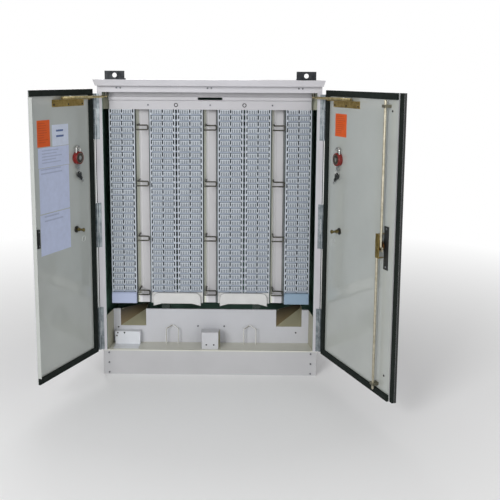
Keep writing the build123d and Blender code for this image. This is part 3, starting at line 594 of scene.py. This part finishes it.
# a piece of a door is made with the door shut and then opened with it
def finishPiece(name, bm, finishNames, body, stands=(), side=0):
    if side:
        bmesh.ops.transform(bm, matrix=doorOpen(side), verts=bm.verts)
    mesh = bpy.data.meshes.new(name)
    bm.to_mesh(mesh)
    bm.free()
    for finishName in finishNames:
        mesh.materials.append(finishes[finishName])
    mesh.shade_smooth()
    mesh.set_sharp_from_angle(angle=smoothAngle)
    piece = bpy.data.objects.new(name, mesh)
    bpy.context.scene.collection.objects.link(piece)
    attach(piece, body)
    if stands:
        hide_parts(*stands)


# one connector: plain cap band below, a comb of contacts above, ears that clip to the channel
module = {
    "rows": 30,
    "footGap": 53.0,
    "width": 48.5,
    "heightShare": 0.95,
    "laneGap": 4.0,
    "stand": 3.0,
    "backGap": 2.0,
    "capShare": 0.34,
    "capReach": 0.6,
    "capBevel": 0.9,
    "lipShare": 0.1,
    "recess": 4.0,
    "fins": 6,
    "finShare": 0.52,
    "finSetback": 0.4,
    "earFootShare": 0.12,
    "earShare": 0.36,
    "earDepth": 5.0,
    "earSetback": 1.5,
    "rungShare": 0.26,
    "rungSetback": 3.0,
    "pairedColumns": (2, 4),
}


def addModule(bm, left, foot, height, outerSide, sideGap):
    front = cabinet["columnFront"] - module["stand"]
    back = cabinet["columnBack"] - module["backGap"]
    right = left + module["width"]
    capTop = foot + height * module["capShare"]
    lipFoot = foot + height * (1 - module["lipShare"])
    recess = front + module["recess"]
    addBlock(bm, (left, recess, foot), (right, back, foot + height), 0, 1)
    capFront = front - module["capReach"]
    addBlock(bm, (left, capFront, foot), (right, recess, capTop), module["capBevel"], 2, 1)
    addBlock(bm, (left, front, lipFoot), (right, recess, foot + height))
    pitch = module["width"] / module["fins"]
    finWidth = pitch * module["finShare"]
    for index in range(module["fins"]):
        start = left + pitch * index + (pitch - finWidth) / 2
        addBlock(bm, (start, front + module["finSetback"], capTop), (start + finWidth, recess, lipFoot))
    earFoot = foot + height * module["earFootShare"]
    earTop = earFoot + height * module["earShare"]
    laneEdge = module["laneGap"] / 2
    ears = ((left - laneEdge, left), (right, right + sideGap))
    if outerSide < 0:
        ears = ((right, right + laneEdge), (left - sideGap, left))
    earFront = front + module["earSetback"]
    for start, end in ears:
        addBlock(bm, (start, earFront, earFoot), (end, earFront + module["earDepth"], earTop))


# light rungs that tie a column to its neighbour across the dark gap between a pair
def addRung(bm, left, right, foot, height):
    front = cabinet["columnFront"] + module["rungSetback"]
    rungFoot = foot + height * module["earFootShare"]
    rungTop = rungFoot + height * module["rungShare"]
    addBlock(bm, (left, front, rungFoot), (right, front + module["earDepth"], rungTop), 0, 2)


def makeModules():
    foot = cabinet["columnFoot"] + module["footGap"]
    pitch = (cabinet["headerBottom"] - foot) / module["rows"]
    height = pitch * module["heightShare"]
    lane = (module["width"] + module["laneGap"]) / 2
    half = cabinet["columnWidth"] / 2
    sideGap = half - cabinet["channelLip"] - lane - module["width"] / 2
    for index, centre in enumerate(cabinet["columns"], start=1):
        bm = bmesh.new()
        for row in range(module["rows"]):
            rowFoot = foot + row * pitch + (pitch - height) / 2
            for outerSide in (-1, 1):
                left = centre + outerSide * lane - module["width"] / 2
                addModule(bm, left, rowFoot, height, outerSide, sideGap)
            if index in module["pairedColumns"]:
                addRung(bm, centre + half, cabinet["columns"][index] - half, rowFoot, height)
        finishPiece(f"moduleColumn_{index}", bm, ("modulePlastic", "contactShade", "bandPlastic"), "cabinet",
                    (f"connector_modules_{index}",))


makeModules()
print("connector columns made")

# paper and printed labels on the door liners, as slide and height ranges
labels = {
    "leftOrangeLabel": {"side": -1, "slide": (307, 391), "height": (1134, 1246), "paper": "orangeLabel",
                        "ink": "orangeInk", "lines": 9, "margin": 0.1, "seed": 3},
    "leftNoticeLabel": {"side": -1, "slide": (179, 292), "height": (1132, 1223), "paper": "whiteLabel",
                        "ink": "blueInk", "lines": 2, "margin": 0.24, "seed": 5},
    "leftFormTop": {"side": -1, "slide": (179, 389), "height": (1046, 1130), "paper": "formLabel",
                    "ink": "printInk", "lines": 5, "margin": 0.12, "seed": 7},
    "leftFormMiddle": {"side": -1, "slide": (182, 386), "height": (852, 1044), "paper": "formLabel",
                       "ink": "printInk", "lines": 2, "margin": 0.06, "seed": 11},
    "leftFormLow": {"side": -1, "slide": (182, 388), "height": (672, 848), "paper": "formLabel",
                    "ink": "printInk", "lines": 2, "margin": 0.14, "seed": 13},
    "rightOrangeLabel": {"side": 1, "slide": (79, 179), "height": (1169, 1270), "paper": "orangeLabel",
                         "ink": "orangeInk", "lines": 9, "margin": 0.1, "seed": 17},
}
labelSheet = {
    "lift": 0.25,
    "inkLift": 0.33,
    "lineShare": 0.35,
    "lineRange": (0.55, 1.0),
    "printShare": {"leftFormMiddle": 0.2, "leftFormLow": 0.3},
}


def addSheet(bm, low, high, y, finish):
    centre = Vector(((low[0] + high[0]) / 2, y, (low[1] + high[1]) / 2)) * mm
    size = Vector((abs(high[0] - low[0]), abs(high[1] - low[1]), 1.0)) * mm / 2
    place = Matrix.Translation(centre) @ Matrix.Rotation(math.radians(-90), 4, "X")
    place = place @ Matrix.Diagonal((size.x, size.y, 1.0, 1.0))
    made = bmesh.ops.create_grid(bm, x_segments=1, y_segments=1, size=1.0, matrix=place)["verts"]
    for face in linked(made, "link_faces"):
        face.material_index = finish


def makeLabel(name, label):
    side = label["side"]
    door = doorName(side)
    edges = sorted(doorX(side, slide) for slide in label["slide"])
    foot, top = label["height"]
    bm = bmesh.new()
    inner = cabinet["doorInner"]
    addBlock(bm, (edges[0], inner, foot), (edges[1], inner + labelSheet["lift"], top))
    draw = random.Random(label["seed"])
    width, height = edges[1] - edges[0], top - foot
    used = labelSheet["printShare"].get(name, 1.0)
    step = height * used * (1 - 2 * label["margin"]) / label["lines"]
    for index in range(label["lines"]):
        lineTop = top - height * used * label["margin"] - index * step
        start = edges[1] - width * label["margin"]
        end = start - width * (1 - 2 * label["margin"]) * draw.uniform(*labelSheet["lineRange"])
        addSheet(bm, (end, lineTop - step * labelSheet["lineShare"]), (start, lineTop),
                 inner + labelSheet["inkLift"], 1)
    finishPiece(name, bm, (label["paper"], label["ink"]), f"{door}_door", (), side)


for labelName, labelValues in labels.items():
    makeLabel(labelName, labelValues)
print("labels made:", len(labels))


# round padlock: red case, dark steel face with a ring groove and a keyed centre
padlock = {
    "radius": 29.0,
    "depth": 22.0,
    "faceRadius": 24.0,
    "grooveRadius": 18.0,
    "grooveWidth": 4.0,
    "centreRadius": 9.0,
    "faceRise": 0.8,
    "riseShares": (0.5, 0.7, 0.9, 1.0),
    "caseBevel": 2.5,
    "faceBevel": 0.3,
}


def makePadlock(side):
    door = doorName(side)
    x, z = doorX(side, cabinet["padlockSlide"]), cabinet["padlockHeight"]
    y0 = cabinet["doorInner"]
    y1 = y0 + padlock["depth"] - padlock["faceRise"]
    bm = bmesh.new()
    addRod(bm, (x, y0, z), (x, y1, z), padlock["radius"], 0, 48, bevel=padlock["caseBevel"])
    rise, groove = padlock["faceRise"], padlock["grooveRadius"]
    face, ring, middle, centre = (y1 + rise * share for share in padlock["riseShares"])
    addRod(bm, (x, y1 - rise, z), (x, face, z), padlock["faceRadius"], 1, 40, bevel=padlock["faceBevel"])
    addRod(bm, (x, y1, z), (x, ring, z), groove, 2, 36)
    addRod(bm, (x, y1, z), (x, middle, z), groove - padlock["grooveWidth"], 1, 36)
    addRod(bm, (x, y1, z), (x, centre, z), padlock["centreRadius"], 3, 28)
    finishPiece(f"{door}PadlockCase", bm, ("redEnamel", "padlockSteel", "blackSatin", "brightSteel"),
                f"{door}_door", (f"{door}_padlock",), side)


# one key sits under the lock, the other hangs from the ring and leans towards the hinge
keySet = {
    "bowRadius": 12.0,
    "bladeLength": 34.0,
    "bladeWidth": 8.0,
    "thickness": 2.5,
    "holeRadius": 3.5,
    "ringRadius": 9.0,
    "ringWire": 1.2,
    "slack": 0.3,
    "margin": 1.0,
    "lean": 38.0,
    "bowBevel": 0.5,
    "bladeBevel": 0.6,
    "bladeLap": 3.0,
    "teeth": (0.45, 0.6, 0.78, 0.9),
    "toothHeight": 2.2,
    "toothSpan": (-0.6, 0.7),
    "toothShare": 0.8,
    "coverReach": 25.0,
    "coverRim": 3.0,
    "coverThickness": 5.5,
    "coverBevels": (1.2, 1.4),
    "neckShare": 1 / 3,
}


def addTorus(bm, place, radius, wire, finish, turn, steps=32, sides=10):
    centre = Matrix.Translation(Vector(place) * mm) @ turn
    rings = []
    for step in range(steps):
        angle = 2 * math.pi * step / steps
        ring = []
        for part in range(sides):
            bend = 2 * math.pi * part / sides
            reach = radius + wire * math.cos(bend)
            point = Vector((reach * math.cos(angle), reach * math.sin(angle), wire * math.sin(bend))) * mm
            ring.append(bm.verts.new(centre @ point))
        rings.append(ring)
    for step, ring in enumerate(rings):
        following = rings[(step + 1) % steps]
        for part in range(sides):
            nextPart = (part + 1) % sides
            face = bm.faces.new((ring[part], following[part], following[nextPart], ring[nextPart]))
            face.material_index = finish


# flat key in its own plane: bow at the origin, blade along +Z, facing Y
def addKey(bm, place, bowFinish, bladeFinish, cover):
    half = keySet["thickness"] / 2
    made = bmesh.new()
    width = keySet["bladeWidth"] / 2
    tip = keySet["bowRadius"] + keySet["bladeLength"] - keySet["margin"]
    bow, rim = keySet["bowRadius"], keySet["coverRim"]
    addRod(made, (0, -half, 0), (0, half, 0), bow, bladeFinish, 28, bevel=keySet["bowBevel"])
    addBlock(made, (-width, -half, bow - keySet["bladeLap"]), (width, half, tip), keySet["bladeBevel"],
             bladeFinish, 1)
    near, far = (width + reach for reach in keySet["toothSpan"])
    depth = half * keySet["toothShare"]
    for share in keySet["teeth"]:
        z = bow + keySet["bladeLength"] * share
        addBlock(made, (near, -depth, z), (far, depth, z + keySet["toothHeight"]), 0, bladeFinish)
    if cover:
        reach = keySet["coverThickness"] / 2
        bowBevel, neckBevel = keySet["coverBevels"]
        addRod(made, (0, -reach, 0), (0, reach, 0), bow + rim, bowFinish, 28, bevel=bowBevel)
        neck = bow * keySet["neckShare"]
        addBlock(made, (-width - rim, -reach, neck), (width + rim, reach, neck + keySet["coverReach"]),
                 neckBevel, bowFinish)
    bmesh.ops.transform(made, matrix=place, verts=made.verts)
    mesh = bpy.data.meshes.new("keyPart")
    made.to_mesh(mesh)
    made.free()
    bm.from_mesh(mesh)
    bpy.data.meshes.remove(mesh)


def makeKeys(side):
    door = doorName(side)
    x = doorX(side, cabinet["padlockSlide"])
    y = cabinet["doorInner"] + padlock["depth"] / 2
    upper = cabinet["padlockHeight"] - padlock["radius"] - keySet["bowRadius"]
    holeDrop = keySet["bowRadius"] - keySet["holeRadius"] - keySet["margin"]
    sag = keySet["holeRadius"] - keySet["ringWire"] - keySet["slack"]
    ringHeight = upper - holeDrop - sag - keySet["ringRadius"]
    hang = ringHeight - keySet["ringRadius"]
    lower = hang - sag - holeDrop
    bm = bmesh.new()
    addKey(bm, Matrix.Translation(Vector((x, y, upper)) * mm), 1, 0, False)
    turn = Matrix.Rotation(math.radians(-side * keySet["lean"]), 4, "Y")
    lean = Matrix.Translation(Vector((x, y, hang)) * mm) @ turn
    lean = lean @ Matrix.Translation(Vector((0, 0, lower - hang)) * mm) @ Matrix.Rotation(math.pi, 4, "Y")
    addKey(bm, lean, 1, 0, True)
    across = Matrix.Rotation(math.pi / 2, 4, "Y")
    addTorus(bm, (x, y, ringHeight), keySet["ringRadius"], keySet["ringWire"], 0, across)
    finishPiece(f"{door}KeySet", bm, ("brightSteel", "blackSatin"), f"{door}_door",
                (f"{door}_keys",), side)


# ground stud: dark washer on the liner, threaded stud and two nuts
stud = {
    "slide": 140.0,
    "height": 745.0,
    "length": 46.0,
    "radius": 5.0,
    "discRadius": 15.0,
    "discThickness": 5.0,
    "nutRadius": 9.0,
    "nutThickness": 7.0,
    "nutPlaces": (12.0, 36.0),
    "threads": 14,
    "threadDepth": 0.6,
    "threadShare": 0.5,
    "discBevel": 0.8,
    "coreBevel": 0.4,
    "nutBevel": 0.5,
}


def makeStud(side):
    door = doorName(side)
    x, z, inner = doorX(side, stud["slide"]), stud["height"], cabinet["doorInner"]
    bm = bmesh.new()
    addRod(bm, (x, inner, z), (x, inner + stud["discThickness"], z), stud["discRadius"], 1, 32,
           bevel=stud["discBevel"])
    start = inner + stud["discThickness"] / 2
    end = inner + stud["length"]
    core = stud["radius"] - stud["threadDepth"]
    addRod(bm, (x, start, z), (x, end, z), core, 0, 20, bevel=stud["coreBevel"])
    pitch = (end - start) / stud["threads"]
    for index in range(1, stud["threads"]):
        low = start + pitch * index
        addRod(bm, (x, low, z), (x, low + pitch * stud["threadShare"], z), stud["radius"], 0, 20)
    for place in stud["nutPlaces"]:
        low = inner + place
        addRod(bm, (x, low, z), (x, low + stud["nutThickness"], z), stud["nutRadius"], 0, 6,
               bevel=stud["nutBevel"])
    finishPiece(f"{door}Stud", bm, ("studBrass", "wirePewter"), f"{door}_door",
                (f"{door}_ground_stud",), side)


for doorSide in (-1, 1):
    makePadlock(doorSide)
    makeKeys(doorSide)
    makeStud(doorSide)
print("padlocks, keys and studs made")

# door stay arm: a flat eye on the pivot, then a deep folded bar that runs on past its pin
stay = {
    "pivotX": 478.0,
    "pivotY": -188.0,
    "slideOpen": 190.0,
    "slotOffset": 23.0,
    "eyeRadius": 5.0,
    "eyeFoot": 1333.0,
    "eyeTop": 1340.0,
    "holeRadius": 3.05,
    "barStart": 24.0,
    "barPast": 52.0,
    "barWidth": 10.0,
    "barFoot": 1330.6,
    "barTop": 1341.4,
    "lipWidth": 2.2,
    "webDrop": 0.4,
    "webInset": 1.0,
    "eyeLap": 4.0,
    "eyeBevel": 0.6,
    "lipBevel": 0.7,
    "webBevel": 0.3,
    "rivetRadius": 5.0,
    "rivetRise": 2.4,
    "rivetSink": 1.0,
    "rivetBevel": 0.8,
    "pinRadius": 3.5,
    "pinPast": 0.4,
}


# flat ring about the Z axis
def addRing(bm, inner, outer, foot, top, steps=28):
    corners = ((inner, foot), (outer, foot), (outer, top), (inner, top))
    loops = []
    for step in range(steps):
        angle = 2 * math.pi * step / steps
        spots = [Vector((radius * math.cos(angle), radius * math.sin(angle), z)) for radius, z in corners]
        loops.append([bm.verts.new(spot * mm) for spot in spots])
    for step, loop in enumerate(loops):
        following = loops[(step + 1) % steps]
        for part in range(len(corners)):
            other = (part + 1) % len(corners)
            bm.faces.new((loop[part], following[part], following[other], loop[other]))
    bmesh.ops.recalc_face_normals(bm, faces=bm.faces)


def makeStayArm(side):
    door = doorName(side)
    start = Vector((side * stay["pivotX"], stay["pivotY"], 0.0))
    pin = Vector((doorX(side, stay["slideOpen"]), cabinet["doorInner"] + stay["slotOffset"], 0.0))
    run = (doorOpen(side) @ (pin * mm)) / mm - start
    reach = run.length
    half, lip = stay["barWidth"] / 2, stay["lipWidth"]
    near, end = stay["barStart"], reach + stay["barPast"]
    foot, top = stay["barFoot"], stay["barTop"]
    low, high = stay["eyeFoot"], stay["eyeTop"]
    bm = bmesh.new()
    addBlock(bm, (stay["holeRadius"], -half, low), (near + stay["eyeLap"], half, high), stay["eyeBevel"])
    addRing(bm, stay["holeRadius"], stay["eyeRadius"], low, high)
    addBlock(bm, (near, -half, foot), (end, -half + lip, top), stay["lipBevel"])
    addBlock(bm, (near, half - lip, foot), (end, half, top), stay["lipBevel"])
    web = half - stay["webInset"]
    addBlock(bm, (near, -web, top - lip), (end, web, top - stay["webDrop"]), stay["webBevel"])
    sunk, rivetTop = top - stay["rivetSink"], top + stay["rivetRise"]
    addRod(bm, (reach, 0, sunk), (reach, 0, rivetTop), stay["rivetRadius"], 1, 20, bevel=stay["rivetBevel"])
    addRod(bm, (reach, 0, foot - stay["pinPast"]), (reach, 0, sunk), stay["pinRadius"], 1, 16)
    turn = Matrix.Rotation(math.atan2(run.y, run.x), 4, "Z")
    bmesh.ops.transform(bm, matrix=Matrix.Translation(start * mm) @ turn, verts=bm.verts)
    finishPiece(f"{door}StayBar", bm, ("armSteel", "brightSteel"), f"{door}_stay",
                (f"{door}_stay_arm",))


for doorSide in (-1, 1):
    makeStayArm(doorSide)
print("stay arms made")

# small fasteners, as places on the closed doors and on the cabinet
fasteners = {
    "hingeSpread": (-82.0, -41.0, 0.0, 41.0, 82.0),
    "hingeInset": 12.0,
    "leafThickness": 2.5,
    "staySlides": (74.0, 175.0, 276.0),
    "stayHeight": 1307.0,
    "guardX": -17.0,
    "guardHeights": (672.0, 828.0),
    "guardFace": -207.0,
    "strikeSlide": 409.0,
    "strikeHeights": (722.0, 782.0),
    "strikeFace": -201.0,
    "linerDots": ((536.0, 1300.0), (536.0, 217.0)),
    "tieSlide": 86.0,
    "tieHeight": 691.0,
    "headerRings": (-160.0, 160.0),
    "headerRingHeight": 1297.0,
    "boxScrews": ((-458.0, 178.0), (-425.0, 178.0), (-463.0, 163.0)),
    "boxFace": -117.0,
    "junctionScrews": ((-18.0, 142.0), (18.0, 142.0)),
    "junctionFace": -178.0,
    "panelScrews": ((-460.0, 196.0), (420.0, 173.0)),
    "panelFace": -82.0,
    "roofRivets": (-506.0, 506.0),
    "roofRivetHeight": 1392.0,
    "tieRadius": 13.0,
    "tieWire": 1.4,
    "headerRingRadius": 8.0,
    "headerRingWire": 1.6,
    "headerRingRise": 1.0,
}
intoCabinet, outOfCabinet = (0, 1, 0), (0, -1, 0)
# radius and height of each kind of screw head
screwSize = {
    "hinge": (3.2, 1.2),
    "stay": (4.2, 2.0),
    "latch": (5.0, 2.0),
    "strike": (3.6, 1.6),
    "panel": (4.2, 2.0),
    "roof": (3.4, 1.4),
}


def makeDoorFasteners(side):
    door = doorName(side)
    inner = cabinet["doorInner"]
    bm = bmesh.new()
    leafX = side * (cabinet["hingeX"] - fasteners["hingeInset"])
    leafFace = inner + fasteners["leafThickness"]
    for height in cabinet["hingeHeights"]:
        for rise in fasteners["hingeSpread"]:
            addScrew(bm, (leafX, leafFace, height + rise), intoCabinet, screwSize["hinge"])
    for slide in fasteners["staySlides"]:
        place = (doorX(side, slide), leafFace, fasteners["stayHeight"])
        addScrew(bm, place, intoCabinet, screwSize["stay"], 1)
    if side > 0:
        for height in fasteners["guardHeights"]:
            place = (fasteners["guardX"], fasteners["guardFace"], height)
            addScrew(bm, place, intoCabinet, screwSize["latch"])
        for slide, height in fasteners["linerDots"]:
            addScrew(bm, (doorX(side, slide), inner, height), intoCabinet, screwSize["latch"], 1)
    else:
        for height in fasteners["strikeHeights"]:
            place = (doorX(side, fasteners["strikeSlide"]), fasteners["strikeFace"], height)
            addScrew(bm, place, intoCabinet, screwSize["strike"])
    wire = fasteners["tieWire"]
    tie = (doorX(side, fasteners["tieSlide"]), inner + wire, fasteners["tieHeight"])
    addTorus(bm, tie, fasteners["tieRadius"], wire, 2, Matrix.Rotation(math.pi / 2, 4, "X"))
    finishPiece(f"{door}DoorFasteners", bm, ("screwZinc", "darkScrew", "clearTie"), f"{door}_door",
                (), side)


def makeCabinetFasteners():
    bm = bmesh.new()
    ringFace = cabinet["headerFace"] - fasteners["headerRingRise"]
    for x in fasteners["headerRings"]:
        addTorus(bm, (x, ringFace, fasteners["headerRingHeight"]), fasteners["headerRingRadius"],
                 fasteners["headerRingWire"], 1, Matrix.Rotation(math.pi / 2, 4, "X"))
    for name in ("box", "junction", "panel"):
        for x, z in fasteners[name + "Screws"]:
            addScrew(bm, (x, fasteners[name + "Face"], z), outOfCabinet, screwSize["panel"], 1)
    for x in fasteners["roofRivets"]:
        place = (x, cabinet["roofFront"], fasteners["roofRivetHeight"])
        addScrew(bm, place, outOfCabinet, screwSize["roof"], 1)
    finishPiece("cabinetFasteners", bm, ("screwZinc", "darkScrew"), "cabinet")


for doorSide in (-1, 1):
    makeDoorFasteners(doorSide)
makeCabinetFasteners()
print("fasteners made")


# rays that see the background at full strength: camera, glossy and transmitted ones
def backgroundRays(tree):
    rays = addNode(tree, "ShaderNodeLightPath")
    total = rays.outputs["Is Camera Ray"]
    for kind in ("Is Glossy Ray", "Is Transmission Ray"):
        total = mathNode(tree, "MAXIMUM", total, rays.outputs[kind])
    return total


# lengths in metres, lamp powers in watts
studio = {
    "floorHalf": 30.0,
    "floorTone": 0.88,
    "floorRoughness": 0.9,
    "fadeStart": 1.0,
    "fadeEnd": 3.4,
    "skyStrength": 0.42,
    "aim": (0.0, -0.1, 0.8),
    "lamps": {
        "keyLamp": {"place": (-2.2, -4.9, 2.5), "size": 1.8, "power": 138.0},
        "fillLamp": {"place": (2.6, -4.4, 1.7), "size": 3.0, "power": 46.0},
        "rearLamp": {"place": (-1.2, 4.6, 2.8), "size": 3.0, "power": 70.0},
    },
}


def makeStage():
    bm = bmesh.new()
    bmesh.ops.create_grid(bm, x_segments=1, y_segments=1, size=studio["floorHalf"])
    mesh = bpy.data.meshes.new("studioFloor")
    bm.to_mesh(mesh)
    bm.free()
    floor = bpy.data.objects.new("studioFloor", mesh)
    bpy.context.scene.collection.objects.link(floor)
    material, tree, shader = startMaterial("studioFloor")
    shader.inputs["Base Color"].default_value = (*(studio["floorTone"],) * 3, 1.0)
    shader.inputs["Roughness"].default_value = studio["floorRoughness"]
    place = addNode(tree, "ShaderNodeTexCoord")
    length = addNode(tree, "ShaderNodeVectorMath", {"operation": "LENGTH"})
    tree.links.new(place.outputs["Object"], length.inputs[0])
    fade = addNode(tree, "ShaderNodeMapRange", None, From_Min=studio["fadeStart"], From_Max=studio["fadeEnd"],
                   To_Min=0.0, To_Max=1.0)
    tree.links.new(length.outputs["Value"], fade.inputs["Value"])
    seen = mathNode(tree, "MULTIPLY", fade.outputs["Result"], backgroundRays(tree))
    glow = addNode(tree, "ShaderNodeEmission", None, Strength=1.0)
    blend = addNode(tree, "ShaderNodeMixShader")
    tree.links.new(seen, blend.inputs["Fac"])
    tree.links.new(shader.outputs["BSDF"], blend.inputs[1])
    tree.links.new(glow.outputs["Emission"], blend.inputs[2])
    tree.links.new(blend.outputs["Shader"], tree.nodes["Material Output"].inputs["Surface"])
    mesh.materials.append(material)


def addLamp(name, values):
    lamp = bpy.data.lights.new(name, "AREA")
    lamp.size = values["size"]
    lamp.energy = values["power"]
    holder = bpy.data.objects.new(name, lamp)
    holder.location = values["place"]
    aim = Vector(studio["aim"]) - Vector(values["place"])
    holder.rotation_euler = aim.to_track_quat("-Z", "Y").to_euler()
    bpy.context.scene.collection.objects.link(holder)


def makeLight():
    world = bpy.data.worlds.new("studioSky")
    bpy.context.scene.world = world
    world.use_nodes = True
    tree = world.node_tree
    sky = tree.nodes["Background"]
    sky.inputs["Color"].default_value = (1.0, 1.0, 1.0, 1.0)
    strength = addNode(tree, "ShaderNodeMapRange", None, To_Min=studio["skyStrength"], To_Max=1.0)
    tree.links.new(backgroundRays(tree), strength.inputs["Value"])
    tree.links.new(strength.outputs["Result"], sky.inputs["Strength"])
    for name, values in studio["lamps"].items():
        addLamp(name, values)
    bpy.context.scene.view_settings.view_transform = "Standard"


# camera in metres and degrees
view = {
    "place": (0.1983, -3.6508, 1.4322),
    "pitch": 8.307,
    "yaw": -0.593,
    "roll": 0.322,
    "lens": 53.83,
    "shift": (0.0112, -0.1294),
    "sensor": 36.0,
    "clipEnd": 200.0,
}


def makeCamera():
    camera = bpy.data.cameras.new("frontView")
    camera.sensor_width = view["sensor"]
    camera.lens = view["lens"]
    camera.shift_x, camera.shift_y = view["shift"]
    camera.clip_end = view["clipEnd"]
    holder = bpy.data.objects.new("frontView", camera)
    pitch, yaw, roll = (math.radians(view[key]) for key in ("pitch", "yaw", "roll"))
    ahead = Vector((math.sin(yaw) * math.cos(pitch), math.cos(yaw) * math.cos(pitch), -math.sin(pitch)))
    flatRight = ahead.cross(Vector((0.0, 0.0, 1.0))).normalized()
    flatUp = flatRight.cross(ahead)
    right = flatRight * math.cos(roll) + flatUp * math.sin(roll)
    up = flatUp * math.cos(roll) - flatRight * math.sin(roll)
    turn = Matrix((right, up, -ahead)).transposed().to_4x4()
    holder.matrix_world = Matrix.Translation(view["place"]) @ turn
    bpy.context.scene.collection.objects.link(holder)
    bpy.context.scene.camera = holder


makeStage()
makeLight()
makeCamera()
print("stage, light and camera set")
